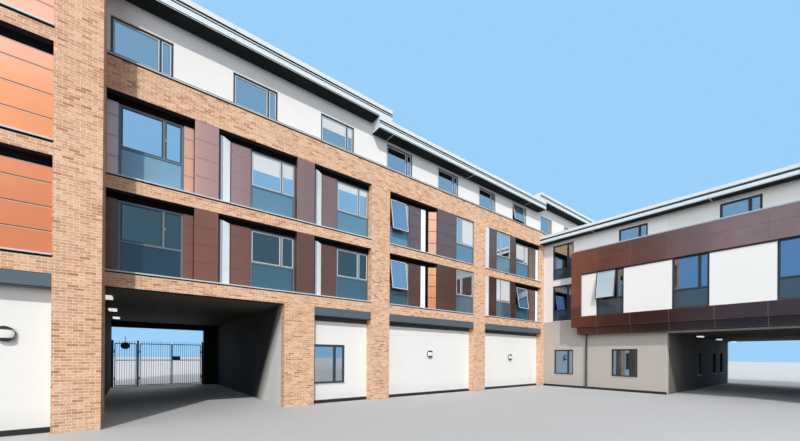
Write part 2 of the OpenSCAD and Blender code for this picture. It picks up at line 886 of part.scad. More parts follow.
// Floor and roof of the box, from its bands to the court wall
module box_decks() {
  deck_t = 60;
  y0 = -box_out + box_band_t;
  color(concrete) place() along_court(corner_x) {
    translate([box_start, y0, box_z]) cube([box_len, -y0, deck_t]);
    translate([box_start, y0, box_top_z - deck_t]) cube([box_len, -y0, deck_t]);
  }
}

// Walls of the short passage; the one near the long wing has three narrow windows
slit_xs = [3190, 5260, 6390];
module short_passage_walls() {
  x0 = render_t;
  x1 = short_depth - render_t;
  color(render_white) place() translate([corner_x, 0, 0]) {
    difference() {
      cuboid(x0, x1, -short_passage_y, -short_passage_y + ground_wall_t, 0, short_passage_h);
      for (x = slit_xs)
        translate([x, -short_passage_y - 1, 450]) cube([460, ground_wall_t / 2, 760]);
    }
    cuboid(x0, x1, -passage_end - ground_wall_t, -passage_end, 0, short_passage_h);
  }
}

// A round wall light, drawn along X from the wall
module wall_light() {
  rotate([90, 0, 0]) rotate_extrude($fn = 48) scale(light_r / 88)
    polygon([[0, 0], [85, 0], [88, 12], [84, 40], [70, 46], [62, 40], [40, 54], [0, 60]]);
}

// Each wall light is given as its place along X, the y of the brick beside it and its height
wall_lights = [[bay_b_x + 0.482 * middle_bay_w, 0, 1060], [bay_c_x + 0.484 * east_bay_w, 0, 990],
  [-0.372 * block_w, -block_out, 1235]];
vent_h = 50;
vent_z = fascia_foot_z - vent_h - 105;

// Lights, a vent and the rainwater pipe, which stands clear of the plinth
module wall_fittings() {
  pipe_y = -plinth_t - pipe_r - 2;
  pipe_h = box_z - 220;
  color(black) place() {
    for (light = wall_lights)
      translate([light[0], light[1] + ground_recess, light[2]]) wall_light();
    cuboid(bay_b_end - 480, bay_b_end - 320, ground_recess - 15, ground_recess,
      vent_z, vent_z + vent_h);
    for (share = [0.13, 0.43, 0.73])
      translate([-100, share * long_depth, band_foot_z - ceiling_light_t])
        cube([160, 400, ceiling_light_t]);
    for (share = [0.25, 0.57, 0.89])
      translate([corner_x + share * short_depth, -short_passage_y - 330,
        short_passage_h - ceiling_light_t]) cube([400, 130, ceiling_light_t]);
    along_court(corner_x) {
      translate([pipe_x, pipe_y, 0]) cylinder(r = pipe_r, h = pipe_h, $fn = 32);
      for (share = [0.23, 0.75])
        translate([pipe_x - 10, pipe_y, share * pipe_h]) cube([20, -pipe_y, 30]);
    }
  }
}

// Gates at the far end of the west passage
gate_y = long_depth - wall_t / 2;
foot_post_x = -passage_back;
mid_post_x = foot_post_x + post_w + foot_gate_w;
end_post_x = jamb_x - post_w;
pin_y = gate_y - gate_t / 2 - 12;
hinge_zs = [260, 1080];
barrel_r = 2 * pin_r;
pin_off = gate_gap + barrel_r;

module post(x) {
  cuboid(x, x + post_w, gate_y - post_w / 2, gate_y + post_w / 2, 0, post_h);
}

// Two pins on lugs; side is 1 where the gate lies towards +X
module hinge_pins(x, side) {
  reach = pin_off + 2;
  for (z = hinge_zs) {
    translate([x, pin_y, z - 20]) cylinder(r = pin_r, h = 70, $fn = 32);
    translate([min(x, x - side * reach), pin_y - pin_r, z - 30]) cube([reach, 2 * pin_r, 20]);
  }
}

module gate_posts() {
  color(black) place() {
    post(foot_post_x);
    post(mid_post_x);
    post(end_post_x);
    cuboid(foot_post_x, jamb_x, gate_y - gate_t, gate_y + gate_t, 0, threshold_h);
    hinge_pins(foot_post_x + post_w + pin_off, 1);
    hinge_pins(mid_post_x + post_w + pin_off, 1);
    hinge_pins(end_post_x - pin_off, -1);
  }
}

// A gate of width w from its hinge axis, with rails, stiles and upright bars
module gate(w) {
  y0 = gate_y - gate_t / 2 - pin_y;
  h = gate_top_z - gate_floor_gap;
  rail_z = gate_mid_z - gate_floor_gap;
  count = round(w / gate_bar_pitch);
  translate([0, 0, gate_floor_gap]) {
    difference() {
      translate([0, y0, 0]) cube([w, gate_t, h]);
      translate([gate_t, y0 - 1, gate_t]) cube([w - 2 * gate_t, gate_t + 2, rail_z - gate_t]);
      translate([gate_t, y0 - 1, rail_z + gate_t])
        cube([w - 2 * gate_t, gate_t + 2, h - rail_z - 2 * gate_t]);
    }
    for (i = [1 : count - 1])
      translate([i * w / count - gate_bar / 2, y0 + gate_t / 2 - gate_bar / 2, gate_t / 2])
        cube([gate_bar, gate_bar, h - gate_t / 2 + gate_tip]);
  }
  for (z = hinge_zs)
    difference() {
      union() {
        translate([0, 0, z - 5]) cylinder(r = barrel_r, h = 40, $fn = 32);
        translate([0, 0, z - 5]) cube([barrel_r, y0 + 2, 40]);
      }
      translate([0, 0, z - 6]) cylinder(r = pin_r + pin_gap, h = 42, $fn = 32);
    }
}

car_gate_w = car_gap_w / 2 - pin_off - gate_gap / 2;

module foot_gate() {
  color(black) place() translate([foot_post_x + post_w + pin_off, pin_y, 0])
    gate(foot_gate_w - pin_off - gate_gap);
}

module car_gate_left() {
  color(black) place() translate([mid_post_x + post_w + pin_off, pin_y, 0]) gate(car_gate_w);
}

module car_gate_right() {
  color(black) place() translate([end_post_x - pin_off, pin_y, 0])
    mirror([1, 0, 0]) gate(car_gate_w);
}

block_piers();
block_bands();
block_panels();
block_side_walls();
front_piers();
front_bands();
front_brown_panels();
front_white_panels();
front_dark_strips();
front_window_frames();
front_window_glass();
front_spandrels();
open_sashes();
front_sills();
ground_walls();
ground_fascias();
plinths();
top_wall();
top_window_frames();
top_window_glass();
passage_walls();
party_wall();
floors();
back_walls();
east_wall();
rear_window_frames();
rear_window_glass();
high_roofs();
middle_roof();
court_walls();
court_window_frames();
court_window_glass();
box_bands();
box_end_bands();
box_base();
box_white_panels();
box_decks();
short_end_wall();
short_rear_walls();
walls_over_passages();
short_passage_walls();
short_roof();
wall_fittings();
gate_posts();
foot_gate();
car_gate_left();
car_gate_right();
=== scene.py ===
import math

import bpy
import numpy as np
from mathutils import Matrix, Vector


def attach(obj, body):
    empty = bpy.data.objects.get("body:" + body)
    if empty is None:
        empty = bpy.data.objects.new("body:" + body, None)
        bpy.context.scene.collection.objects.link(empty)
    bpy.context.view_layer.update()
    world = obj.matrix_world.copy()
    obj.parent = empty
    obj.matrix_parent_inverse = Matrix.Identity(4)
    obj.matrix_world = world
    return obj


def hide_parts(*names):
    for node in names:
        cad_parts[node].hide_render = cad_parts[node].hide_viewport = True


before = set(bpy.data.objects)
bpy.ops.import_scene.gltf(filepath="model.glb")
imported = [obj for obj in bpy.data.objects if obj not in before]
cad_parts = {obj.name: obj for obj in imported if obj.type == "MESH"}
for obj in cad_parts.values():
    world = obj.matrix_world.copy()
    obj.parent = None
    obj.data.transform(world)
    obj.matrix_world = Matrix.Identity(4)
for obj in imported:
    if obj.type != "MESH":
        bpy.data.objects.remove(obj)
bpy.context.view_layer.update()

# Places are written in the part's own millimetres: X from the west block's right face,
# Y back from the court face of the long wing, Z up from the floor.
MID_X, MID_Y = 8835.0, -1575.0
EAST, CORNER, DEPTH, SHORT_END = 19750.0, 11850.0, 7000.0, 10140.0
WALL = 190

# Court face of the long wing, from the west: brick piers and bands, and what lies between them
STOREYS = [(2215.0, 3425.0), (3635.0, 4880.0)]
LEVELS = [(sill + 20, head) for sill, head in STOREYS]
PIERS = [(4585, 5095), (8095, 8605), (11665, CORNER)]
GROUND_TOP, RECESS_HEAD, GROUND_RECESS = 1990, 1815, 180
BANDS = [(GROUND_TOP, 2215), (3425, 3635), (4880, 5380)]
BAY_SPANS = [(0, 4585), (5095, 8095), (8605, 11665)]
GROUND_SPANS = [(3230, 4585)] + BAY_SPANS[1:]
RECESS, FLUSH, STRIP_FACE = 125, 10, 20

# The west block, whose one bay of panels has three storeys
BLOCK_WEST, BLOCK_FACE, PARAPET = -2390, -565, 6700
BLOCK_BAY = (-1920, -470)
BLOCK_LEVELS = [(2235, 3455), (3655, 4875), (5075, 6275)]
BLOCK_BANDS = [(GROUND_TOP, 2215), (3455, 3635), (4875, 5055), (6275, PARAPET)]

# The passage of the short wing and the ceiling over it
SHORT_NEAR, SHORT_FAR, SHORT_TOP = -3575, -6565, 1685


def to_frame(x, y, z):
    return ((x - MID_X) / 1000, (y - MID_Y) / 1000, z / 1000)


def as_is(x, y, z):
    return (x, y, z)


def court(x, y, z):
    """Along the short wing's court wall: x from the long wing, y back from the wall."""
    return (CORNER + y, -x, z)


# Placements on the sides away from the court: x along the side, y in from its face
def on_back(x, y, z):
    return (x, DEPTH - y, z)


def on_east(x, y, z):
    return (EAST - y, x, z)


def on_end(x, y, z):
    return (CORNER + x, -SHORT_END + y, z)


def on_short_rear(x, y, z):
    return (EAST - y, -x, z)


def even(start, end, count):
    """The points that divide a length into equal parts, with both its ends."""
    return [start + (end - start) * k / count for k in range(count + 1)]


def steps(points):
    """Each point with the next one."""
    return list(zip(points, points[1:]))


def srgb(r, g, b):
    def linear(c):
        c /= 255
        return c / 12.92 if c <= 0.04045 else ((c + 0.055) / 1.055) ** 2.4
    return (linear(r), linear(g), linear(b), 1.0)


def shade(base, k):
    """A colour made darker or lighter by a factor."""
    return srgb(*[min(255, c * k) for c in base])


def add_object(name, data):
    """An object in the scene for a mesh, light or camera."""
    ob = bpy.data.objects.new(name, data)
    bpy.context.scene.collection.objects.link(ob)
    return ob


def add_node(tree, kind, values=(), **props):
    """A node whose sockets hold plain values or are fed by other sockets."""
    n = tree.nodes.new(kind)
    for key, value in props.items():
        setattr(n, key, value)
    for key, value in dict(values).items():
        if isinstance(value, bpy.types.NodeSocket):
            tree.links.new(value, n.inputs[key])
        else:
            n.inputs[key].default_value = value
    return n


def seen_plainly(tree):
    """One on rays from the eye, from mirrors and through glass, and zero on the others."""
    rays = add_node(tree, "ShaderNodeLightPath").outputs
    seen = rays["Is Camera Ray"]
    for kind in ("Is Glossy Ray", "Is Transmission Ray"):
        seen = add_node(tree, "ShaderNodeMath", {0: seen, 1: rays[kind]}, operation="MAXIMUM").outputs[0]
    return seen


def set_camera():
    """The camera fitted to the photograph's lines."""
    yaw, pitch, roll = math.radians(37.69), math.radians(0.13), math.radians(-0.41)
    forward = Vector((math.sin(yaw) * math.cos(pitch), math.cos(yaw) * math.cos(pitch), math.sin(pitch)))
    level = Vector((math.cos(yaw), -math.sin(yaw), 0))
    plumb = forward.cross(level)
    right = math.cos(roll) * level + math.sin(roll) * plumb
    down = -math.sin(roll) * level + math.cos(roll) * plumb
    data = bpy.data.cameras.new("camera")
    data.sensor_width = 36
    data.lens = 15.57
    data.shift_y = 0.1685
    data.clip_end = 300
    ob = add_object("camera", data)
    turn = Matrix((right, -down, -forward)).transposed().to_4x4()
    ob.matrix_world = Matrix.Translation((-8.505, -5.015, 1.0)) @ turn
    bpy.context.scene.camera = ob


# A soft sun from the left and front, and fills: level from the front for the shade below the eaves,
# from the left, and from behind for the far sides: (name, strength, spread in degrees, tint, way to it)
SUN_TINT, FILL_TINT = (1.0, 0.965, 0.91), (0.93, 0.96, 1.0)
SUNS = [("sun", 2.25, 1.0, SUN_TINT, (-0.63, -1.0, 0.97)),
        ("fill_front", 1.4, 40, FILL_TINT, (-0.66, -1.0, 0.02)),
        ("fill_left", 0.73, 40, FILL_TINT, (-1.0, -0.12, 0.42)),
        ("fill_rear", 1.5, 40, FILL_TINT, (0.55, 1.0, 0.8))]


def set_light():
    scene = bpy.context.scene
    scene.view_settings.view_transform = "Standard"
    for name, energy, spread, tint, towards in SUNS:
        sun = bpy.data.lights.new(name, "SUN")
        sun.energy = energy
        sun.angle = math.radians(spread)
        sun.color = tint
        ob = add_object(name, sun)
        ob.visible_glossy = ob.visible_transmission = name == "sun"
        ob.rotation_euler = Vector(towards).to_track_quat("Z", "Y").to_euler()
    scene.world = scene.world or bpy.data.worlds.new("world")
    scene.world.use_nodes = True
    tree = scene.world.node_tree
    tree.nodes.clear()
    soft = add_node(tree, "ShaderNodeBackground", {"Color": (0.86, 0.92, 1.0, 1), "Strength": 0.52})
    shown = add_node(tree, "ShaderNodeBackground", {"Color": srgb(158, 210, 251), "Strength": 1.0})
    seen = seen_plainly(tree)
    mix = add_node(tree, "ShaderNodeMixShader", {0: seen, 1: soft.outputs[0], 2: shown.outputs[0]})
    add_node(tree, "ShaderNodeOutputWorld", {0: mix.outputs[0]})


# Materials, all from nodes, by name
M = {}


class Mat:
    def __init__(self, name, rough=0.6, **sockets):
        self.name, self.m = name, bpy.data.materials.new(name)
        self.m.use_nodes = True
        self.t = self.m.node_tree
        self.t.nodes.clear()
        values = {key.replace("_", " "): value for key, value in sockets.items()}
        self.b = self.node("ShaderNodeBsdfPrincipled", {"Roughness": rough, **values})
        self.node("ShaderNodeOutputMaterial", {0: self.b.outputs[0]})
        self.pos = self.node("ShaderNodeTexCoord").outputs["Object"]

    def node(self, kind, values=(), **props):
        return add_node(self.t, kind, values, **props)

    def math(self, op, *values):
        return self.node("ShaderNodeMath", dict(enumerate(values)), operation=op).outputs[0]

    def plus(self, a, b):
        return self.math("ADD", a, b)

    def minus(self, a, b):
        return self.math("SUBTRACT", a, b)

    def times(self, a, b):
        return self.math("MULTIPLY", a, b)

    def above(self, a, limit):
        return self.math("GREATER_THAN", a, limit)

    def below(self, a, limit):
        return self.math("LESS_THAN", a, limit)

    def within(self, a, low, high):
        return self.times(self.above(a, low), self.below(a, high))

    def facing(self, part):
        """One where the surface looks along the axis of this part of its normal."""
        return self.above(self.math("ABSOLUTE", part), 0.7)

    def choose(self, k, a, b):
        return self.plus(self.times(a, k), self.times(b, self.minus(1.0, k)))

    def mix(self, fac, a, b, blend="MIX"):
        return self.node("ShaderNodeMix", {0: fac, 6: a, 7: b}, data_type="RGBA", blend_type=blend).outputs[2]

    def noise(self, scale, detail=2.0, vector=None):
        values = {"Vector": vector or self.pos, "Scale": scale, "Detail": detail}
        return self.node("ShaderNodeTexNoise", values).outputs[0]

    def ramp(self, fac, stops):
        n = self.node("ShaderNodeValToRGB", {0: fac})
        while len(n.color_ramp.elements) < len(stops):
            n.color_ramp.elements.new(0.5)
        for element, (at, colour) in zip(n.color_ramp.elements, stops):
            element.position = at
            element.color = colour
        return n.outputs[0]

    def toned(self, a, value, stops):
        """A colour multiplied by a ramp of plain factors."""
        return self.mix(1.0, a, self.ramp(value, [(at, (*factors, 1)) for at, factors in stops]), "MULTIPLY")

    def mottled(self, a, scale, detail, dark, light):
        return self.toned(a, self.noise(scale, detail), [(0.3, dark), (0.7, light)])

    def dusted(self, a, scale, detail, share, dust):
        """A colour with up to this share of dust in fine or broad spots."""
        return self.mix(self.times(self.noise(scale, detail), share), a, dust)

    def span(self, value, a, b, c, d):
        return self.node("ShaderNodeMapRange", {0: value, 1: a, 2: b, 3: c, 4: d}).outputs[0]

    def along(self, axis, first, last, sign=1):
        """A maker of colour ramps along an axis, whose stops are in the part's own millimetres."""
        start, end = (to_frame(*[sign * at] * 3)[axis] for at in (first, last))
        t = self.span(self.xyz(self.pos)[axis], start, end, 0.0, 1.0)
        return lambda rows: self.ramp(t, [((at - first) / (last - first), srgb(*c)) for at, c in rows])

    def xyz(self, vector):
        return self.node("ShaderNodeSeparateXYZ", {0: vector}).outputs

    def geometry(self, key):
        return self.node("ShaderNodeNewGeometry").outputs[key]

    def normal(self):
        return self.xyz(self.geometry("True Normal"))

    def done(self, colour, height=None, strength=0.0, distance=0.0):
        """Gives the material its colour and its bumps, and keeps it under its name."""
        self.t.links.new(colour, self.b.inputs["Base Color"])
        if height:
            n = self.node("ShaderNodeBump", {"Height": height, "Strength": strength, "Distance": distance})
            self.t.links.new(n.outputs[0], self.b.inputs["Normal"])
        M[self.name] = self.m


BRICK_W, BRICK_H, JOINT, COURSE_0 = 0.1125, 0.0375, 0.005, 0.0025
BRICK_TONES = [(0.0, (192, 136, 106)), (0.08, (213, 162, 128)), (0.3, (225, 180, 146)),
               (0.6, (234, 192, 158)), (0.86, (244, 204, 175)), (1.0, (227, 169, 140))]
PATCHES = [(0.3, (0.88, 0.83, 0.78)), (0.5, (1, 1, 1)), (0.72, (1.05, 1.07, 1.09))]
GRAIN = [(0.25, (0.66, 0.63, 0.58)), (0.5, (1, 1, 1)), (0.8, (1.16, 1.16, 1.16))]


def brick_tone(m, chance, speck):
    """The fired clay: one tone for each brick, with patches, grain and weather over it."""
    tone = m.ramp(chance, [(at, srgb(*c)) for at, c in BRICK_TONES])
    tone = m.toned(m.toned(tone, m.noise(34.0, 1.0), PATCHES), speck, GRAIN)
    return m.mottled(tone, 0.7, 4.0, (0.97, 0.94, 0.93), (1.02, 1.02, 1.02))


def to_edge(m, at, whole, size):
    """Distance to the nearer edge of a brick, from its place in brick lengths or heights."""
    part = m.minus(at, whole)
    return m.times(m.math("MINIMUM", part, m.minus(1.0, part)), size)


def brick_material(name, joints=True, plastered=None):
    """Stretcher bond at true scale, with the faces that look down painted dark as shade; plastered(m, x, y,
    z) masks what is rendered white near a passage, whose beam over the gates is painted dark as shade."""
    m = Mat(name, rough=0.85)
    x, y, z = m.xyz(m.pos)
    nx, ny, nz = m.normal()
    along_y = m.facing(nx)
    u = m.choose(along_y, y, x)
    v = m.choose(m.facing(nz), y, z)
    row_at = m.math("DIVIDE", m.minus(v, COURSE_0), BRICK_H)
    row = m.math("FLOOR", row_at)
    odd = m.times(m.math("FLOORED_MODULO", row, 2.0), 0.5)
    col_at = m.plus(m.math("DIVIDE", u, BRICK_W), odd)
    col = m.math("FLOOR", col_at)
    cell = m.node("ShaderNodeCombineXYZ", {0: col, 1: row, 2: along_y}).outputs[0]
    chance = m.node("ShaderNodeTexWhiteNoise", {0: cell}, noise_dimensions="3D").outputs[0]
    speck = m.noise(140.0, 3.0)
    tone = brick_tone(m, chance, speck)
    if not joints:
        m.done(tone, speck, 0.25, 0.001)
        return
    near = m.math("MINIMUM", to_edge(m, col_at, col, BRICK_W), to_edge(m, row_at, row, BRICK_H))
    face = m.span(near, JOINT * 0.38, JOINT * 0.6, 0.0, 1.0)
    mortar = m.mix(speck, srgb(252, 232, 202), srgb(255, 246, 224))
    # Painted shade: faces that look down are near black
    colour = m.mix(m.below(nz, -0.7), m.mix(face, mortar, tone), srgb(24, 21, 20))
    if plastered:
        # Painted shade: the beam's face over the gates, looking to -y below 2 m, is dark
        beam = m.times(m.below(ny, -0.7), m.below(z, 2.0))
        colour = m.mix(beam, colour, m.mix(speck, srgb(34, 32, 30), srgb(46, 44, 41)))
        mask = m.times(plastered(m, x, y, z), m.minus(1.0, beam))
        colour = m.mix(mask, colour, m.mix(m.noise(1.3, 4.0), srgb(226, 226, 222), srgb(242, 242, 238)))
        face = m.math("MAXIMUM", face, mask)
    m.done(colour, m.plus(face, m.times(speck, 0.25)), 0.2, 0.001)


def jamb_mask(m, x, y, z):
    """The jamb beside the gates is rendered, not bare brick."""
    a, b = to_frame(2200, 6600, 0), to_frame(2830, 6990, 1830)
    return m.times(m.times(m.within(x, a[0], b[0]), m.within(y, a[1], b[1])), m.below(z, b[2]))


def over_mask(m, x, y, z):
    """Over the passages only the rear of the long wing is brick."""
    return m.below(y, to_frame(0, 6700, 0)[1])


def sheet_metal(name, rough=0.48, metallic=0.45, coat=0.25, coat_rough=0.2):
    """The start of a material for coated sheet."""
    return Mat(name, rough=rough, Metallic=metallic, Coat_Weight=coat, Coat_Roughness=coat_rough)


def gap_cladding(name, base, axis, gap):
    """Coated metal behind the cassettes; its faces along the axis show as the gaps between them."""
    m = sheet_metal(name)
    a = m.mix(m.noise(1.6, 3.0), shade(base, 0.93), shade(base, 1.06))
    a = m.mix(m.span(m.geometry("Random Per Island"), 0.0, 1.0, 0.0, 0.14), a, shade(base, 0.78))
    a = m.dusted(a, 220.0, 2.0, 0.16, srgb(60, 34, 28))
    a = m.mix(m.facing(m.normal()[axis]), a, srgb(*gap))
    m.done(a, m.noise(14.0, 2.0), 0.12, 0.004)


BAY_END, UPPER_BAYS = 12000, 3.5
# Bay tones by storey along x: paler and pinker above and to the west as a painted sheen, darker in the lower
# storey as painted shade, and pale in the first 200 mm as a painted sky reflection in the block's shadow
BAY_HIGH = [(0, (226, 204, 208)), (200, (226, 204, 208)), (420, (240, 182, 152)), (1080, (240, 182, 150)),
            (1160, (210, 164, 148)), (1690, (176, 141, 139)), (2860, (157, 122, 116)),
            (3430, (148, 117, 116)), (5785, (123, 104, 104)), (8780, (108, 95, 90)),
            (9900, (104, 88, 84)), (10140, (94, 80, 77)), (10900, (94, 80, 77)),
            (11080, (140, 119, 108)), (BAY_END, (140, 119, 108))]
BAY_LOW = [(0, (104, 74, 64)), (900, (130, 88, 74)), (1120, (146, 90, 70)), (1690, (140, 92, 76)),
           (2860, (116, 75, 60)), (3430, (118, 77, 66)), (5785, (103, 74, 62)), (6640, (104, 71, 57)),
           (8780, (83, 55, 45)), (10900, (74, 51, 42)), (11080, (122, 93, 80)), (BAY_END, (122, 93, 80))]
# Tones of the folded edges: a painted highlight, bright above and to the west
EDGE_HIGH = [(0, (236, 206, 192)), (1900, (220, 190, 178)), (3600, (186, 158, 150)), (6000, (136, 116, 114)),
             (BAY_END, (120, 100, 96))]
EDGE_LOW = [(0, (150, 112, 98)), (1900, (160, 122, 108)), (3600, (146, 112, 100)), (6000, (112, 84, 72)),
            (BAY_END, (96, 70, 60))]


def bay_tones(m, low, high):
    """Tones along the court bays, for the lower and the upper storey, which hold painted sheen and shade."""
    ramp = m.along(0, 0, BAY_END)
    return m.mix(m.above(m.xyz(m.pos)[2], UPPER_BAYS), ramp(low), ramp(high))


def bay_cladding(name):
    """Brown sheet of the court bays, with a painted sheen that makes it paler and pinker to the west and
    above, and painted shade that darkens the lower storey.
    """
    m = sheet_metal(name, 0.42, 0.3, 0.3, 0.15)
    a = m.mottled(bay_tones(m, BAY_LOW, BAY_HIGH), 1.6, 3.0, (0.95, 0.95, 0.95), (1.04, 1.04, 1.04))
    m.done(m.dusted(a, 220.0, 2.0, 0.14, srgb(70, 46, 40)), m.noise(14.0, 2.0), 0.12, 0.004)


def bay_edges(name):
    """Folded edges of those sheets, painted bright as a highlight: bright above and to the west, hardly seen
    elsewhere.
    """
    m = Mat(name, rough=0.4, Metallic=0.3)
    a = m.dusted(bay_tones(m, EDGE_LOW, EDGE_HIGH), 160.0, 2.0, 0.5, srgb(120, 92, 82))
    m.done(a, m.noise(90.0, 2.0), 0.08, 0.001)


# Tones up the ramp and the block's sheets: paler and pinker above as a painted sheen
RAMP_TONES = [(2200, (206, 130, 94)), (2794, (220, 150, 108)), (3388, (220, 166, 124)),
              (3658, (212, 162, 134)), (4900, (216, 170, 142))]
BLOCK_TONES = [(2200, (216, 124, 80)), (3400, (224, 140, 96)), (3700, (226, 144, 98)),
               (4250, (226, 149, 104)), (4750, (225, 166, 140)), (6200, (225, 170, 146))]


def upright_cladding(name, tones):
    """Orange sheet, with a painted sheen that makes it paler and pinker above."""
    m = sheet_metal(name)
    a = m.along(2, tones[0][0], tones[-1][0])(tones)
    a = m.mottled(a, 1.6, 3.0, (0.95, 0.94, 0.93), (1.04, 1.04, 1.04))
    m.done(m.dusted(a, 220.0, 2.0, 0.12, srgb(150, 90, 60)), m.noise(14.0, 2.0), 0.12, 0.004)


# Tones of the box above its windows, below them, and on its lowest step: redder towards the long wing and
# purpler away from it as a painted sky reflection, darker below its windows as a painted reflection of the
# ground, and darkest on the step as painted shade under the band
BOX_START, BOX_END = 1000, 9000
BOX_HIGH = [(BOX_START, (150, 92, 70)), (1500, (136, 86, 68)), (2200, (122, 76, 62)), (3200, (116, 76, 64)),
            (5000, (150, 122, 120)), (BOX_END, (150, 122, 120))]
BOX_LOW = [(BOX_START, (126, 70, 52)), (1600, (112, 62, 46)), (2200, (82, 42, 31)), (3000, (62, 27, 18)),
           (5000, (66, 47, 47)), (BOX_END, (66, 47, 47))]
BOX_FOOT = [(BOX_START, (116, 66, 44)), (1600, (98, 54, 38)), (3000, (58, 28, 21)), (5000, (38, 24, 22)),
            (BOX_END, (38, 24, 22))]


def box_cladding(name):
    """Red-brown sheet of the box, redder towards the long wing and purpler away from it as a painted
    reflection, and darker below as painted reflection and shade.
    """
    m = sheet_metal(name, 0.34, 0.4, 0.25, 0.12)
    z = m.xyz(m.pos)[2]
    ramp = m.along(1, BOX_START, BOX_END, sign=-1)
    a = m.mix(m.above(z, 2.6), ramp(BOX_LOW), ramp(BOX_HIGH))
    a = m.mix(m.below(z, 1.955), a, ramp(BOX_FOOT))
    a = m.mottled(a, 2.4, 4.0, (0.88, 0.86, 0.86), (1.08, 1.07, 1.07))
    m.done(m.dusted(a, 220.0, 2.0, 0.14, srgb(54, 30, 26)), m.noise(9.0, 2.0), 0.1, 0.004)


BEAD_HEIGHT = 2.224


def render_coat(name, base, low=None):
    """Painted render, with a faint mottle and a greyer foot; low is its tone below the court's bead."""
    m = Mat(name, rough=0.78)
    z = m.xyz(m.pos)[2]
    colour = m.mix(m.noise(1.1, 4.0), shade(base, 0.975), shade(base, 1.012))
    if low:
        lower = m.mix(m.noise(1.7, 4.0), shade(low, 0.96), shade(low, 1.03))
        colour = m.mix(m.below(z, BEAD_HEIGHT), colour, lower)
    foot = m.times(m.span(z, 0.0, 0.35, 1.0, 0.0), m.noise(5.0, 3.0))
    colour = m.mix(m.times(foot, 0.35), colour, srgb(150, 146, 138))
    m.done(colour, m.noise(260.0, 3.0), 0.25, 0.0012)


def passage_painted_shade(name, axis, mouth, depth, near, deep, fall=0.0):
    """Painted shade of a passage: darker further in; fall slopes the edge of the pale part as a painted
    shadow's edge, so that the pale part ends lower near the mouth.
    """
    m = Mat(name, rough=0.8)
    parts = m.xyz(m.pos)
    t = m.span(m.plus(parts[axis], m.times(parts[2], fall)), mouth, mouth + depth, 0.0, 1.0)
    a = m.mottled(m.mix(t, srgb(*near), srgb(*deep)), 1.4, 4.0, (0.93, 0.93, 0.93), (1.04, 1.04, 1.04))
    m.done(a, m.noise(200.0, 3.0), 0.25, 0.0012)


def lamp_lens(name):
    """A pale lens, lit from behind, a little uneven."""
    m = Mat(name, rough=0.3, Emission_Strength=1.0)
    glow = m.mix(m.noise(30.0, 2.0), srgb(196, 198, 196), srgb(236, 238, 234))
    m.t.links.new(glow, m.b.inputs["Emission Color"])
    m.done(m.mix(m.noise(60.0, 2.0), srgb(226, 226, 220), srgb(244, 244, 240)))


def metal(name, base, rough=0.4, metallic=0.0, mottle=0.06, dust=0.12, **sockets):
    """Coated or bare metal with brushed unevenness and dust."""
    m = Mat(name, rough=rough, Metallic=metallic, **sockets)
    stretch = m.node("ShaderNodeMapping", {0: m.pos, 3: (3.0, 3.0, 40.0)}).outputs[0]
    a = m.mix(m.noise(2.0, 3.0, stretch), shade(base, 1 - mottle), shade(base, 1 + mottle))
    m.done(m.dusted(a, 0.9, 3.0, dust, srgb(150, 146, 140)), m.noise(90.0, 2.0), 0.08, 0.001)


def spandrel_material(name, low, high, first_low, first_high):
    """Glazed solid panels with a painted reflection: lighter in the upper storey, and the first window from
    the west has its own, darker below and lighter above.
    """
    m = Mat(name, rough=0.16, Coat_Weight=0.8, Coat_Roughness=0.04)
    x, _, z = m.xyz(m.pos)
    upper = m.above(z, UPPER_BAYS)
    a = m.mix(upper, srgb(*low), srgb(*high))
    a = m.mix(m.below(x, to_frame(2000, 0, 0)[0]), a, m.mix(upper, srgb(*first_low), srgb(*first_high)))
    m.done(m.dusted(a, 1.4, 3.0, 0.25, shade(low, 0.8)), m.noise(3.0, 2.0), 0.05, 0.002)


def glass_material(name, tint, metallic=0.5, low=None, high=None):
    """Tinted reflecting glass with painted reflections; low holds the tints of the first storey at the west
    and east ends, dark at the west, and high the paler tint of the top row."""
    m = Mat(name, rough=0.02, Metallic=metallic, Transmission_Weight=1.0, IOR=1.45)
    z = m.xyz(m.pos)[2]
    a = m.mix(m.noise(0.8, 2.0), shade(tint, 0.93), srgb(*tint))
    if low:
        west, east = low
        under = m.along(0, 0, BAY_END)([(0, west), (4500, west), (5100, east), (BAY_END, east)])
        a = m.mix(m.below(z, UPPER_BAYS), a, under)
    if high:
        a = m.mix(m.above(z, 4.4), a, srgb(*high))
    m.done(a, m.noise(2.5, 2.0), 0.05, 0.004)


def sash_glass_material(name, tint):
    """Panes on the open sashes, whose solids are closed: a dark room seen through a mirror-bright pane."""
    m = sheet_metal(name, 0.03, 0.75, 1.0, 0.02)
    m.done(m.mix(m.noise(0.9, 2.0), shade(tint, 0.9), srgb(*tint)), m.noise(2.5, 2.0), 0.05, 0.004)


def blind_material(name, base):
    """A pale blind seen through its pane: fine level pleats under a clear, glossy coat; also used for a
    painted reflection on the court's open sash.
    """
    m = Mat(name, rough=0.5, Coat_Weight=1.0, Coat_Roughness=0.03, Coat_IOR=1.7)
    t = m.math("DIVIDE", m.xyz(m.pos)[2], 0.012)
    pleat = m.math("ABSOLUTE", m.minus(m.minus(t, m.math("FLOOR", t)), 0.5))
    a = m.mix(m.times(pleat, 0.5), srgb(*base), shade(base, 0.82))
    m.done(m.dusted(a, 2.0, 2.0, 0.25, shade(base, 0.9)))


def board(name, base, rough=0.6):
    """Concrete or sheet, cloudy and speckled."""
    m = Mat(name, rough=rough)
    a = m.mix(m.noise(2.2, 5.0), shade(base, 0.9), shade(base, 1.08))
    m.done(m.dusted(a, 60.0, 3.0, 0.2, shade(base, 0.7)), m.noise(120.0, 3.0), 0.3, 0.002)


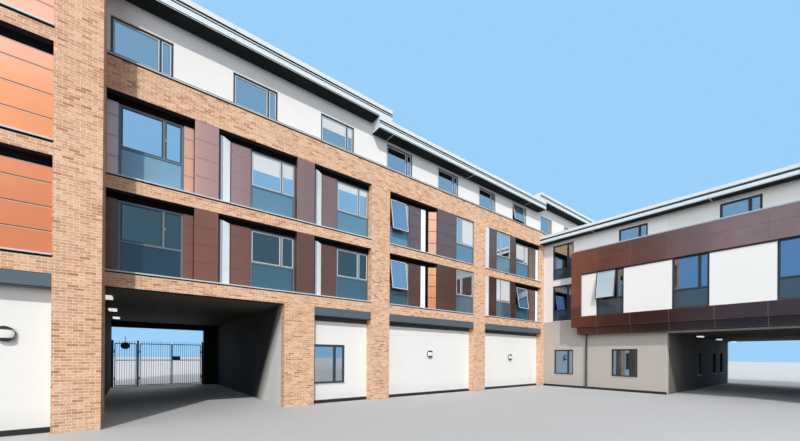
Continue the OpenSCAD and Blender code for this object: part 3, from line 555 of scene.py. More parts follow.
def roof_material(name):
    """Light fascia on the edges, grey sheet on top, and dark boards below, made near black as painted shade
    under the eaves.
    """
    m = Mat(name, rough=0.5)
    nz = m.normal()[2]
    edge = m.mix(m.noise(1.4, 3.0), srgb(222, 234, 238), srgb(236, 243, 246))
    top = m.mix(m.noise(1.2, 5.0), srgb(132, 136, 138), srgb(160, 163, 164))
    under = m.mix(m.noise(2.0, 3.0), srgb(12, 17, 19), srgb(18, 24, 26))
    a = m.mix(m.below(nz, -0.6), m.mix(m.above(nz, 0.6), edge, top), under)
    m.done(a, m.noise(70.0, 3.0), 0.15, 0.002)


# Where the painted shade of the passages begins
WEST_MOUTH, WEST_SILL = to_frame(0, 500, 0)[1], to_frame(0, 550, 0)[1] + 0.75
SHORT_MOUTH = to_frame(11900, 0, 0)[0]
GLOSSY = {"Coat_Weight": 1.0, "Coat_Roughness": 0.08, "Coat_IOR": 1.8}

brick_material("brick_wall")
brick_material("brick_back", plastered=jamb_mask)
brick_material("brick_over_passages", plastered=over_mask)
brick_material("brick_face", joints=False)
bay_cladding("bay_cladding")
bay_edges("bay_cladding_edge")
gap_cladding("bay_gap", (96, 64, 56), 1, (104, 80, 74))
upright_cladding("ramp_cladding", RAMP_TONES)
metal("ramp_cladding_edge", (150, 84, 52), rough=0.5, metallic=0.2)
upright_cladding("block_cladding", BLOCK_TONES)
gap_cladding("block_gap", (150, 90, 66), 1, (40, 28, 24))
box_cladding("box_cladding")
gap_cladding("box_gap", (96, 56, 46), 0, (170, 124, 110))
# Bright folded edges of the block's cassettes: a painted highlight
metal("cladding_edge", (226, 194, 180), metallic=0.3)
render_coat("render_white", (250, 250, 247))
render_coat("render_court", (243, 243, 242), low=(196, 189, 180))
# Passage walls: painted shade, darker further in
passage_painted_shade("passage_render", 1, WEST_SILL, 0.6, (246, 246, 242), (36, 35, 34), fall=0.75)
passage_painted_shade("short_passage_render", 0, SHORT_MOUTH, 1.6, (118, 113, 104), (74, 72, 68))
metal("white_panel", (244, 248, 250), rough=0.3, mottle=0.015, **GLOSSY)
metal("box_white_panel", (251, 251, 248), rough=0.34, mottle=0.006, dust=0.03, Coat_Weight=0.6,
      Coat_Roughness=0.1)
# The splay panels glow faintly: a painted light that makes them brighter than the lamps make them
metal("splay_white_glow_panel", (250, 253, 254), rough=0.3, mottle=0.01, dust=0.03,
      Emission_Color=(0.86, 0.93, 1.0, 1), Emission_Strength=0.3, **GLOSSY)
metal("slate_metal", (86, 100, 109), rough=0.42)
metal("sill_metal", (212, 222, 226), rough=0.35)
spandrel_material("spandrel_glazed", (66, 99, 114), (102, 146, 171), (24, 46, 62), (134, 176, 203))
metal("spandrel_dark", (50, 66, 77), rough=0.14, dust=0.05, Coat_Weight=0.8, Coat_Roughness=0.04)
# Near black: the head trims of the recesses, darkened as painted shade under the bands; the fascia drips
# share it
metal("dark_strip", (10, 9, 9), rough=0.8, dust=0.004, Specular_IOR_Level=0.1)
metal("strip_slate", (168, 178, 196), rough=0.35, metallic=0.1, dust=0.04)
metal("strip_brown", (52, 34, 36), rough=0.5, dust=0.03)
# Near black, for the fascia's shadow lines, the block's head strips and the painted shadows under the sills
metal("black_gap_and_shade", (14, 14, 15), rough=0.8, dust=0.006, Specular_IOR_Level=0.15)
# Dark brown strips painted as the shade under the ground fascia and the box's band
metal("recess_head", (74, 70, 60), rough=0.8, dust=0.03)
metal("frame_dark", (58, 68, 78), rough=0.35, metallic=0.2, dust=0.05)
metal("frame_mid", (112, 122, 130), rough=0.35, metallic=0.1)
metal("frame_black", (36, 39, 44), dust=0.03)
metal("sash_light", (222, 228, 230), rough=0.35, dust=0.04)
metal("trim_light", (196, 204, 208), rough=0.35, metallic=0.4)
metal("fascia_light", (222, 234, 238), dust=0.05)
glass_material("bay_glass", (232, 240, 246), 0.82, low=((112, 116, 112), (206, 216, 220)))
glass_material("top_glass", (224, 226, 228), 0.68)
glass_material("court_glass", (176, 200, 226), high=(222, 224, 226))
glass_material("rear_glass", (200, 216, 232))
sash_glass_material("sash_glass", (150, 178, 200))
# A pale pleated pane on the court's open sash: a painted reflection
blind_material("bright_sash_glass", (190, 208, 220))
blind_material("window_blind", (234, 238, 240))
board("concrete", (172, 166, 154))
# Dark soffit boards, made near black as painted shade under the eaves and the box
metal("soffit_board", (14, 24, 25), rough=0.75, dust=0.02, Specular_IOR_Level=0.2)
# Passage ceilings: painted shade, darker further in
passage_painted_shade("passage_ceiling", 1, WEST_MOUTH, 2.6, (100, 93, 80), (16, 15, 14))
passage_painted_shade("short_passage_ceiling", 0, SHORT_MOUTH, 3.0, (84, 76, 66), (40, 37, 33))
board("roof_sheet", (146, 149, 150), rough=0.5)
roof_material("roof_section")
metal("black_paint", (26, 27, 30), rough=0.35, mottle=0.1, dust=0.03)
metal("pipe_grey", (54, 58, 64), dust=0.04)
render_coat("light_lens", (248, 248, 244))
lamp_lens("ceiling_lamp_lens")
metal("slit_glass", (30, 38, 46), rough=0.1)

NODE_MATERIALS = {
    "brick_wall": "block_piers block_bands block_side_walls front_piers front_bands east_wall",
    "brick_back": "back_walls",
    "brick_over_passages": "walls_over_passages",
    "bay_gap": "front_brown_panels",
    "block_gap": "block_panels",
    "box_gap": "box_bands box_end_bands box_base",
    "white_panel": "front_white_panels",
    "box_white_panel": "box_white_panels",
    "render_white": "ground_walls top_wall party_wall short_end_wall short_rear_walls",
    "passage_render": "passage_walls",
    "short_passage_render": "short_passage_walls",
    "render_court": "court_walls",
    "dark_strip": "front_dark_strips",
    "frame_mid": "front_window_frames open_sashes",
    "frame_dark": "top_window_frames rear_window_frames",
    "frame_black": "court_window_frames",
    "bay_glass": "front_window_glass",
    "top_glass": "top_window_glass",
    "court_glass": "court_window_glass",
    "rear_glass": "rear_window_glass",
    "spandrel_glazed": "front_spandrels",
    "sill_metal": "front_sills",
    "slate_metal": "ground_fascias",
    "black_paint": "plinths wall_fittings gate_posts foot_gate car_gate_left car_gate_right",
    "roof_section": "high_roofs middle_roof short_roof",
    "concrete": "floors box_decks",
}


def dress_nodes():
    for key, names in NODE_MATERIALS.items():
        for name in names.split():
            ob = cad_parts[name]
            if not ob.material_slots:
                ob.data.materials.append(M[key])
            for place in ob.material_slots:
                place.material = M[key]


# Mesh building
X, Y, Z = (1, 0, 0), (0, 1, 0), (0, 0, 1)
MINUS_X, MINUS_Y = (-1, 0, 0), (0, -1, 0)


def band(start, n):
    """The quads between one ring of n points and the next."""
    return [(start + i, start + (i + 1) % n, start + n + (i + 1) % n, start + n + i) for i in range(n)]


def closed(n, rings):
    """The faces of a solid made of rings of n points."""
    faces = [tuple(range(n - 1, -1, -1)), tuple(range(n * (rings - 1), n * rings))]
    for k in range(rings - 1):
        faces += band(k * n, n)
    return faces


class Build:
    def __init__(self, at=as_is):
        self.v, self.f, self.k = [], [], []
        self.at = at
        self.kind = 0

    def add(self, points, faces):
        n = len(self.v)
        self.v += [to_frame(*self.at(*p)) for p in points]
        self.f += [tuple(n + i for i in face) for face in faces]
        self.k += [self.kind] * len(faces)

    def block(self, x0, x1, y0, y1, z0, z1, edge=0.0):
        """A box whose upright and level edges are eased by edge."""
        if edge <= 0:
            p = [(x, y, z) for z in (z0, z1) for x, y in ((x0, y0), (x1, y0), (x1, y1), (x0, y1))]
            self.add(p, closed(4, 2))
            return
        e = edge
        full = [(x0 + e, y0), (x1 - e, y0), (x1, y0 + e), (x1, y1 - e),
                (x1 - e, y1), (x0 + e, y1), (x0, y1 - e), (x0, y0 + e)]
        mid = (x0 + x1) / 2, (y0 + y1) / 2
        small = [[c + math.copysign(min(e, abs(m - c)), m - c) for c, m in zip(p, mid)] for p in full]
        rings = [(small, z0), (full, z0 + e), (full, z1 - e), (small, z1)]
        self.add([(x, y, z) for points, z in rings for x, y in points], closed(8, 4))

    def panel(self, o, u, v, w, h, out, edge=1.5):
        """A sheet of w by h standing out from a surface at o, spanned by the directions u and v."""
        o, u, v = Vector(o), Vector(u).normalized(), Vector(v).normalized()
        n = u.cross(v)
        points = []
        for lift, inset in ((0.0, 0.0), (out - edge, 0.0), (out, edge)):
            for a, b in ((inset, inset), (w - inset, inset), (w - inset, h - inset), (inset, h - inset)):
                points.append(tuple(o + u * a + v * b + n * lift))
        self.add(points, [(8, 9, 10, 11)] + band(0, 4) + band(4, 4))

    def plate(self, x, y, z, w, h, out, edge=1.5):
        """A sheet on a wall that faces the court."""
        self.panel((x, y, z), X, Z, w, h, out, edge)

    def lining(self, x, y, z, w, depth, out, edge=1.5):
        """A sheet under a ceiling, from y towards the court."""
        self.panel((x, y, z), X, MINUS_Y, w, depth, out, edge)

    def ring(self, x, y, z, w, h, bar, depth, edge=1.5):
        """Four mitred bars round an opening, standing out towards -y."""
        corners = [(x, z), (x + w, z), (x + w, z + h), (x, z + h)]
        for a, c in zip(corners, corners[1:] + corners[:1]):
            n = math.hypot(c[0] - a[0], c[1] - a[1])
            u = ((c[0] - a[0]) / n, (c[1] - a[1]) / n)
            points = []
            for lift, e in ((0, 0), (depth - edge, 0), (depth, edge)):
                for length, across in ((e, e), (n - e, e), (n - bar + e, bar - e), (bar - e, bar - e)):
                    points.append((a[0] + u[0] * length - u[1] * across, y - lift,
                                   a[1] + u[1] * length + u[0] * across))
            self.add(points, [(8, 9, 10, 11)] + band(0, 4) + band(4, 4))

    def rod(self, a, b, r, sides=16):
        """A round bar from a to b."""
        reach = Vector(b) - Vector(a)
        self.turned(a, reach, [(r, 0), (r, reach.length)], sides)

    def turned(self, centre, axis, profile, sides=32):
        """A turned shape; profile holds (radius, height along axis)."""
        c, d = Vector(centre), Vector(axis).normalized()
        side = d.cross(Vector(Z if abs(d.z) < 0.9 else X)).normalized()
        other = d.cross(side)
        turns = [2 * math.pi * i / sides for i in range(sides)]
        points = [tuple(c + d * h + side * r * math.cos(t) + other * r * math.sin(t))
                  for r, h in profile for t in turns]
        self.add(points, closed(sides, len(profile)))


def make(name, build, keys, body="building", smooth=False):
    """The object for a build, which rides on a body; keys are the materials for its kinds of face."""
    me = bpy.data.meshes.new(name)
    me.from_pydata(build.v, [], build.f)
    for key in keys.split():
        me.materials.append(M[key])
    me.polygons.foreach_set("material_index", build.k)
    me.validate()
    if smooth:
        me.shade_smooth()
        me.set_sharp_from_angle(angle=math.radians(35))
    ob = add_object(name, me)
    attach(ob, body)
    return ob


# Brickwork: every brick of a face, cut at the face's edges
class Bricks:
    def __init__(self):
        self.quads = []

    def face(self, axis, fixed, sign, u0, u1, z0, z1):
        """axis 'y' for a face at Y = fixed whose outside is towards sign * Y; u runs along X. Millimetres."""
        shift, off = (MID_X, MID_Y) if axis == "y" else (MID_Y, MID_X)
        p, q = (u0 - shift) / 1000, (u1 - shift) / 1000
        lo, hi = z0 / 1000, z1 / 1000
        rows = np.arange(math.floor((lo - COURSE_0) / BRICK_H), math.floor((hi - COURSE_0) / BRICK_H) + 1)
        cols = np.arange(math.floor(p / BRICK_W) - 1, math.floor(q / BRICK_W) + 2)
        r, c = (grid.ravel() for grid in np.meshgrid(rows, cols, indexing="ij"))
        odd = (r % 2) * 0.5
        ua = np.maximum((c - odd) * BRICK_W + JOINT / 2, p)
        ub = np.minimum((c + 1 - odd) * BRICK_W - JOINT / 2, q)
        za = np.maximum(COURSE_0 + r * BRICK_H + JOINT / 2, lo)
        zb = np.minimum(COURSE_0 + (r + 1) * BRICK_H - JOINT / 2, hi)
        keep = (ub - ua > 0.006) & (zb - za > 0.005)
        self.push(axis, (fixed - off) / 1000, sign, ua[keep], ub[keep], za[keep], zb[keep])

    def push(self, axis, plane, sign, ua, ub, za, zb):
        if sign * (1 if axis == "x" else -1) < 0:
            ua, ub = ub, ua
        back = np.full(len(ua), plane)
        front = back + sign * 0.0013
        corners = []
        for depth in (back, front):
            for u, z in ((ua, za), (ub, za), (ub, zb), (ua, zb)):
                corners.append(np.stack([u, depth, z] if axis == "y" else [depth, u, z], 1))
        self.quads.append(np.stack(corners, 1))

    def make(self, name):
        v = np.concatenate(self.quads)
        count = len(v)
        base = np.arange(count)[:, None, None] * 8
        faces = np.array([(4, 5, 6, 7)] + band(0, 4))[None] + base
        me = bpy.data.meshes.new(name)
        me.vertices.add(count * 8)
        me.vertices.foreach_set("co", v.reshape(-1).astype(np.float32))
        me.loops.add(count * 20)
        me.loops.foreach_set("vertex_index", faces.reshape(-1).astype(np.int32))
        me.polygons.add(count * 5)
        me.polygons.foreach_set("loop_start", np.arange(0, count * 20, 4, dtype=np.int32))
        me.materials.append(M["brick_face"])
        me.update(calc_edges=True)
        me.validate()
        me.shade_flat()
        ob = add_object(name, me)
        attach(ob, "building")


def lay_court_bricks():
    b = Bricks()
    b.face("y", 0, -1, 2625, GROUND_SPANS[0][0], 0, GROUND_TOP)
    for x0, x1 in PIERS:
        for z0, z1 in [(0, GROUND_TOP)] + STOREYS:
            b.face("y", 0, -1, x0, x1, z0, z1)
    for z0, z1 in BANDS:
        b.face("y", 0, -1, 0, CORNER, z0, z1)
    b.face("y", 0, -1, CORNER, EAST - WALL, 5175, 5380)
    for x0, x1 in GROUND_SPANS:
        b.face("x", x0, 1, 0, GROUND_RECESS, 0, RECESS_HEAD)
        b.face("x", x1, -1, 0, GROUND_RECESS, 0, RECESS_HEAD)
    reveals = [(x0, 1) for x0, x1 in BAY_SPANS[1:]] + [(x1, -1) for x0, x1 in BAY_SPANS]
    for x, sign in sorted(reveals):
        for z0, z1 in LEVELS:
            b.face("x", x, sign, 0, RECESS, z0, z1)
    b.make("bricks_court")


def lay_block_bricks():
    b = Bricks()
    left, right = BLOCK_BAY
    for x0, x1 in ((BLOCK_WEST, left), (right, 0)):
        b.face("y", BLOCK_FACE, -1, x0, x1, 0, PARAPET)
    for z0, z1 in BLOCK_BANDS:
        b.face("y", BLOCK_FACE, -1, left, right, z0, z1)
    for x, sign in ((left, 1), (right, -1)):
        b.face("x", x, sign, BLOCK_FACE, BLOCK_FACE + GROUND_RECESS, 0, RECESS_HEAD)
        for z0, z1 in BLOCK_LEVELS:
            b.face("x", x, sign, BLOCK_FACE, BLOCK_FACE + RECESS, z0, z1)
    b.face("x", 0, 1, BLOCK_FACE, 0, GROUND_TOP, PARAPET)
    b.face("x", 0, 1, BLOCK_FACE, WALL, 0, GROUND_TOP)
    b.make("bricks_block")


# Rows of the court bays, as in the part's source
A_REST = 4585 - 2 * (355 + 70 + 145) - 2 * 835 - 965
BAYS = [
    (0, [("panel", 140), ("window", 835), ("panel", 145), ("front", 355), ("strip", 70), ("splay", 145),
         ("panel", 335), ("window", 835), ("front", 355), ("strip", 70), ("splay", 145), ("panel", 345),
         ("window", A_REST)]),
    (5095, [("dark", 80), ("open window", 3000 - 730 - 1660), ("panel", 385), ("white", 170), ("dark", 80),
            ("ramp", 190), ("strip", 30), ("front", 725), ("front window", 730)]),
    (8605, [("white front", 175), ("front", 370), ("front window", 730), ("front", 240), ("panel", 220),
            ("low open window", 3060 - 730 - 1600), ("panel", 390), ("dark", 40), ("white", 165)]),
]


def bay_pieces():
    for start, row in BAYS:
        x = start
        for kind, width in row:
            yield kind, x, x + width
            x += width


def rows_of(z0, z1, top):
    """Four sheet rows of equal height, cut at top."""
    for a, b in steps(even(z0, z1, 4)):
        if min(b, top) - a > 20:
            yield a, min(b, top)


def sheets(b, x, y, u, width, rows, joint=2):
    """Cassettes, each with a folded upper edge painted bright as a highlight, below a dark joint."""
    u = Vector(u)
    for a, c in rows:
        o = Vector((x, y, a + 3)) + u * 3
        height = c - a - 13 - joint
        b.kind = 0
        b.panel(o, u, Z, width - 6, height, 6, 2)
        b.kind = 1
        b.panel(o + Vector((0, 0, height)), u, Z, width - 6, 10, 7, 0.5)
    b.kind = 0


def clad_piece(kind, x0, x1, z0, head, brown, orange, strips, white):
    """Covers one piece of a bay's row in one storey."""
    recessed = kind not in ("front", "front window", "white front")
    top = head - 100 if recessed else head
    w = x1 - x0
    if kind in ("panel", "front"):
        sheets(brown, x0, RECESS if recessed else FLUSH, X, w, rows_of(z0, head, top))
    if kind == "front":
        brown.kind = 1
        for a in (x0 + 1, x1 - 7):
            brown.plate(a, FLUSH, z0, 6, top - z0 - 3, 7)
        brown.kind = 0
    if kind == "ramp":
        d = Vector((w, FLUSH - RECESS, 0))
        sheets(orange, x0, RECESS, d.normalized(), d.length, rows_of(z0, head, top))
    if kind == "strip":
        wide = w > 40
        strips.kind = 0
        strips.plate(x0 + 1, STRIP_FACE, z0, w * 0.42 if wide else w - 2, top - z0, 4)
        if wide:
            strips.kind = 1
            strips.plate(x0 + 1 + w * 0.45, STRIP_FACE, z0, w * 0.5, top - z0, 6)
    if kind in ("splay", "white"):
        a, b = Vector((x0, STRIP_FACE if kind == "splay" else RECESS, z0)), Vector((x1, RECESS, z0))
        u = (b - a).normalized()
        white.panel(a + u * 3, u, Z, (b - a).length - 24, top - z0 - 2, 3)
        strips.kind = 2
        strips.panel(b - u * 20, u, Z, 18, top - z0, 5)


def clad_bays():
    brown, orange, strips, white = Build(), Build(), Build(), Build()
    for kind, x0, x1 in bay_pieces():
        for z0, head in LEVELS:
            clad_piece(kind, x0, x1, z0, head, brown, orange, strips, white)
    make("bay_cassettes", brown, "bay_cladding bay_cladding_edge")
    make("ramp_cassettes", orange, "ramp_cladding ramp_cladding_edge")
    make("strip_covers", strips, "strip_brown strip_slate frame_dark")
    # The white covers of the splays glow faintly as a painted light
    make("white_covers", white, "splay_white_glow_panel")


def clad_block():
    block, trim = Build(), Build()
    left, right = BLOCK_BAY
    face, width = BLOCK_FACE + RECESS, right - left
    for z0, z1 in BLOCK_LEVELS:
        sheets(block, left, face, X, width, rows_of(z0, z1, z1 - 100), joint=7)
        # A black head trim under each band, which also stands as painted shade below the band
        trim.plate(left, face, z1 - 100, width, 100, 5, 2)
        trim.plate(left, face - 5, z1 - 62, width, 8, 4, 1)
    make("block_cassettes", block, "block_cladding cladding_edge")
    make("block_head_strips", trim, "black_gap_and_shade")


# The box: its bands and its stepped base along the court wall, and how far they stand out
BOX_LEFT, BOX_RIGHT, BOX_OUT = 1140, 9000, 350
BASE_LEFT, BASE_RIGHT, BASE_OUT, BASE_FOOT = 1280, 8860, 250, 1735
BOX_JOINTS = [1890 + 903 * k for k in range(8)]
BOX_ROWS = [(1955, 2290), (2290, 2957), (2957, 3625), (3625, 4036), (4036, 4370)]


def clad_box():
    b, cap, under = Build(court), Build(court), Build(court)
    gap = 4

    def sheet(x, y, z, u, w, h):
        """A cassette of the box, with a gap above, below and at its ends."""
        b.panel((x, y, z + gap), u, Z, w - 2 * gap, h - 2 * gap, 5, 2)

    for x0, x1 in steps([BOX_LEFT] + BOX_JOINTS + [BOX_RIGHT]):
        for z0, z1 in BOX_ROWS[:1] + BOX_ROWS[3:]:
            sheet(x0 + gap, -BOX_OUT, z0, X, x1 - x0, z1 - z0)
        cap.block(x0 + 1, x1 - 1, -BOX_OUT - 12, 0, 4370, 4378, 1.5)
        cap.block(x0 + 1, x1 - 1, -BOX_OUT - 12, -BOX_OUT - 4, 4344, 4371, 1.5)
    for x0, x1 in steps([BASE_LEFT] + BOX_JOINTS + [BASE_RIGHT]):
        sheet(x0 + gap, -BASE_OUT, BASE_FOOT, X, x1 - x0, 220)
        under.lining(x0 + gap, 0, BASE_FOOT, x1 - x0 - 2 * gap, 246, 4, 1)
    for x in (BOX_LEFT, BOX_RIGHT - 300):
        for z0, z1 in BOX_ROWS[1:3]:
            sheet(x + gap, -BOX_OUT, z0, X, 300, z1 - z0)
    for z0, z1 in BOX_ROWS:
        sheet(BOX_LEFT, -gap, z0, MINUS_Y, BOX_OUT, z1 - z0)
        sheet(BOX_RIGHT, gap - BOX_OUT, z0, Y, BOX_OUT, z1 - z0)
    for x, y, u in ((BASE_LEFT, -gap, MINUS_Y), (BASE_RIGHT, gap - BASE_OUT, Y)):
        b.panel((x, y, BASE_FOOT + 2), u, Z, BASE_OUT - 2 * gap, 215, 5, 2)
    make("box_cassettes", b, "box_cladding")
    make("box_cap", cap, "trim_light")
    make("box_underside", under, "soffit_board")


# Sills and heights of windows that repeat, and the court windows near the long wing: (x, sill, width, height)
GROUND_ROW = [(430, 850)]
UPPER_ROWS = [(2615, 850), (4035, 850), (5410, 560)]
COURT_NEAR = [(385, 420, 655, 835), (2190, 425, 690, 830), (320, 2235, 715, 1210), (320, 3650, 715, 1190)]


def bay_windows():
    for kind, x0, x1 in bay_pieces():
        for z0, head in LEVELS:
            if "window" not in kind:
                continue
            if kind == "front window":
                yield (as_is, x0, FLUSH + 15, z0, x1 - x0, head - z0, 0.32, 460, False, "light")
            else:
                is_open = kind == "open window" or (kind == "low open window" and z0 < 3000)
                share = 0.84 if is_open else 0.68
                yield (as_is, x0, RECESS + 15, z0, x1 - x0, head - z0 - 100, share, 460, is_open, "light")


def court_windows():
    holes = COURT_NEAR + [(SHORT_END - a - w, z, w, h) for a, z, w, h in COURT_NEAR]
    holes += [(2375 + 2258 * i, 4430, 742, 405) for i in range(3)]
    for a, z, w, h in holes:
        yield (court, a, 30, z, w, h, 0.72, 340 if z > 2000 and h > 1000 else 0, False, "dark")
    for i in range(4):
        yield (court, 1875 + 1880 * i, -280, 2290, 750, 1335, 0.74, 460, i < 1, "dark")


def unseen_windows():
    """The windows of the sides that the photo does not show, all of one width."""
    rows = [(on_back, 300 + 1655 * i, 60, UPPER_ROWS + (GROUND_ROW if i >= 2 else [])) for i in range(11)]
    rows += [(on_east, x, 60, GROUND_ROW + UPPER_ROWS) for x in (1500, 4700)]
    rows += [(on_end, x, 50, GROUND_ROW + UPPER_ROWS[:2]) for x in (900, 2800, 4700, 6300)]
    for x in (600, 2300, 3900, 5500, 7200, 8900):
        over_passage = x + 700 >= -SHORT_NEAR and x <= -SHORT_FAR
        rows.append((on_short_rear, x, 50, UPPER_ROWS[:2] + ([] if over_passage else GROUND_ROW)))
    for at, x, y, levels in rows:
        for z, h in levels:
            yield (at, x, y, z, 700, h, 0.68, 0, False, "plain")


def window_list():
    """Windows: (placement, x, y of the frame's front, z, w, h, share of the first pane, height of the low
    panel, whether it is open, kind of sash)."""
    out = list(bay_windows())
    out += [(as_is, 40 + 1655 * i, 35, 5410, 775, 560, 0.78, 0, i == 6, "light") for i in range(11)]
    out.append((as_is, 3290, 200, 400, 735, 835, 0.68, 0, False, "dark"))
    return out + list(court_windows()) + list(unseen_windows())


SASH_TILT = math.radians(9)
# Blinds that show in the photograph: (left end of the window, sill, pane, share of the pane's height)
BLINDS = [(2025, 3655, 0, 0.52), (2025, 3655, 1, 0.46), (3775, 3655, 0, 0.24), (3775, 3655, 1, 0.2),
          (3350, 5410, 0, 0.45), (3350, 5410, 1, 0.4), (7365, 3655, 1, 0.95), (9150, 2235, 0, 0.95),
          (9150, 2235, 1, 0.95), (10340, 3655, 0, 0.8), (10340, 3655, 1, 0.9)]


def open_sash(glass, rim, edge, place, x, y, z, w, h, share, low):
    """Glazing and a bright frame on a sash that stands open, tilted out about its head."""
    sw, sh = share * w - 30, h - low - 30
    c, d = math.cos(SASH_TILT), math.sin(SASH_TILT)

    def tilted(p, q, r):
        return place(x + 15 + p, y + q * c + r * d, z + h - 15 - q * d + r * c)

    for one in (glass, rim, edge):
        one.at = tilted
    on_court = place is court
    # On the court the sash's pane takes a painted reflection
    glass.kind = rim.kind = int(on_court)
    glass.plate(24, -11, -sh + 24, sw - 48, sh - 48, 3, 1)
    glass.panel((sw - 24, 0, -sh + 24), MINUS_X, Z, sw - 48, sh - 48, 2, 0.5)
    rim.ring(5, -22, -sh + 5, sw - 10, sh - 10, 20, 4)
    if on_court:
        rim.kind = 0
        rim.ring(25, -20, -sh + 25, sw - 50, sh - 50, 14, 5)
    edge.ring(0, -22, -sh, sw, sh, 5, 3, 1)
    edge.ring(24, -11, -sh + 24, sw - 48, sh - 48, 5, 6, 1)
    edge.plate(0, -22, -sh, sw, 9, 5, 1)
    # Two stays that hold it
    edge.at = as_is
    for p in (10, sw - 10):
        edge.rod(tilted(p, 1, -sh * 0.45), place(x + 15 + p, y + 8, z + h - 15 - sh * 0.24), 3, 8)


def dress_windows():
    sets = {"light": Build(), "dark": Build(), "plain": Build()}
    seals, sills, blinds, lows = Build(), Build(), Build(), Build()
    sash_glass, sash_rims, sash_edges = Build(), Build(), Build()
    for at, x, y, z, w, h, share, low, is_open, kind in window_list():
        b = sets[kind]
        for one in (b, seals, sills, lows):
            one.at = at
        glass_y = y + 14
        split = share * w
        panes = [(x + 30, split - 45), (x + split + 15, w - split - 45)]
        pane_z, pane_h = z + low + 30, h - low - 60
        for px, pw in panes[is_open:]:
            # The rims of the first window from the west are dark as painted shade from the block
            b.kind = 1 if kind == "light" and x < 1000 and z < 5000 else 0
            b.ring(px, glass_y, pane_z, pw, pane_h, 15, 12)
            seals.ring(px + 15, glass_y, pane_z + 15, pw - 30, pane_h - 30, 3.5, 3, 1)
        b.kind = 0
        if is_open:
            reach = 110 if kind == "light" and low else 0
            open_sash(sash_glass, sash_rims, sash_edges, at, x, y, z, w, h, share, low - reach)
        if low:
            seals.ring(x + 30, y + 10, z + 30, w - 60, low - 30, 4, 5, 1)
            if kind == "dark":
                lows.plate(x + 30, y + 10, z + 30, w - 60, low - 30, 3, 1)
        for bx, bz, pane, part in BLINDS:
            if at is as_is and abs(bx - x) < 3 and abs(bz - z) < 3:
                px, pw = panes[pane]
                drop = (pane_h - 30) * part
                blinds.plate(px + 18, glass_y, z + h - 45 - drop, pw - 36, drop, 2, 0.5)
        # The handle on the second pane's frame
        grip_x, grip_z = panes[1][0] + 4, pane_z + (h - low) * 0.42
        b.block(grip_x, grip_x + 7, y - 4, y + 6, grip_z, grip_z + 46, 2)
        if kind == "light" or y < 0:
            continue
        # Depth of the wall's face below the window
        wall = y - 55 if kind == "plain" else y - 30 if at is court else GROUND_RECESS
        sills.block(x - 8, x + w + 8, wall - 16, y + 2, z - 2, z + 8, 1.5)
    make("sash_rims", sets["light"], "sash_light frame_dark")
    make("court_sash_rims", sets["dark"], "frame_dark")
    make("rear_sash_rims", sets["plain"], "sash_light")
    make("glazing_seals", seals, "frame_black")
    make("window_blinds", blinds, "window_blind")
    make("court_low_panels", lows, "spandrel_dark")
    make("open_sash_panes", sash_glass, "sash_glass bright_sash_glass")
    make("open_sash_rims", sash_rims, "sash_light frame_dark")
    make("open_sash_fittings", sash_edges, "frame_black")
    make("window_sills", sills, "sill_metal")


# Roof edges and undersides. Eaves of the long wing: (start, end, height of the soffit)
HIGH_EAVES, MIDDLE_EAVES, OVERHANG = 6275, 6025, 290
EAVES = [(0, 4935, HIGH_EAVES), (4585, 11455, MIDDLE_EAVES), (11105, 20060, HIGH_EAVES)]
STRAPS = [4977, 7755, 10533]


def long_eaves(x0, x1, z, soffit, covers, seams, cap, shadow):
    count = round((x1 - x0) / 600)
    joints = even(x0, x1, count)
    for a, c in steps(joints):
        for y0, w in ((-276, 118), (-150, 146), (DEPTH + 4, 146), (DEPTH + 158, 118)):
            soffit.lining(a + 2, y0 + w, z, c - a - 4, w, 5)
    if z == MIDDLE_EAVES:
        soffit.kind = 1
        for a in STRAPS:
            for y0 in (-286, DEPTH + 4):
                soffit.lining(a - 11, y0 + 284, z - 4, 22, 284, 6)
        soffit.kind = 0
    for y, sign in ((-OVERHANG, -1), (DEPTH + OVERHANG, 1)):
        for foot, out in ((z + 104, 4), (z + 149, 13)):
            shadow.block(x0 + 1, x1 - 1, min(y, y + sign * out), max(y, y + sign * out), foot, foot + 17)
        for a in even(x0, x1, round((x1 - x0) / 1500))[1:-1]:
            for out, foot in ((0, 18), (10, 168)):
                covers.panel((a + sign * 25, y + sign * out, z + foot), (-sign, 0, 0), Z, 50, 80, 3, 1)
    top = z + 250
    for joint in joints:
        a = min(max(joint, x0 + 6), x1 - 6)
        seams.block(a - 5, a + 5, 2 - OVERHANG, DEPTH + OVERHANG - 2, top, top + 14, 2)
    for y in (-300, DEPTH + 270):
        cap.block(x0, x1, y, y + 30, top, top + 9, 2)


def dress_long_roofs():
    soffit, covers, seams, cap, shadow = [Build() for _ in range(5)]
    for x0, x1, z in EAVES:
        long_eaves(x0, x1, z, soffit, covers, seams, cap, shadow)
    make("eaves_boards", soffit, "soffit_board trim_light")
    make("fascia_lines", shadow, "black_gap_and_shade")
    make("fascia_covers", covers, "fascia_light")
    make("roof_seams", seams, "roof_sheet")
    make("roof_edge_caps", cap, "fascia_light")


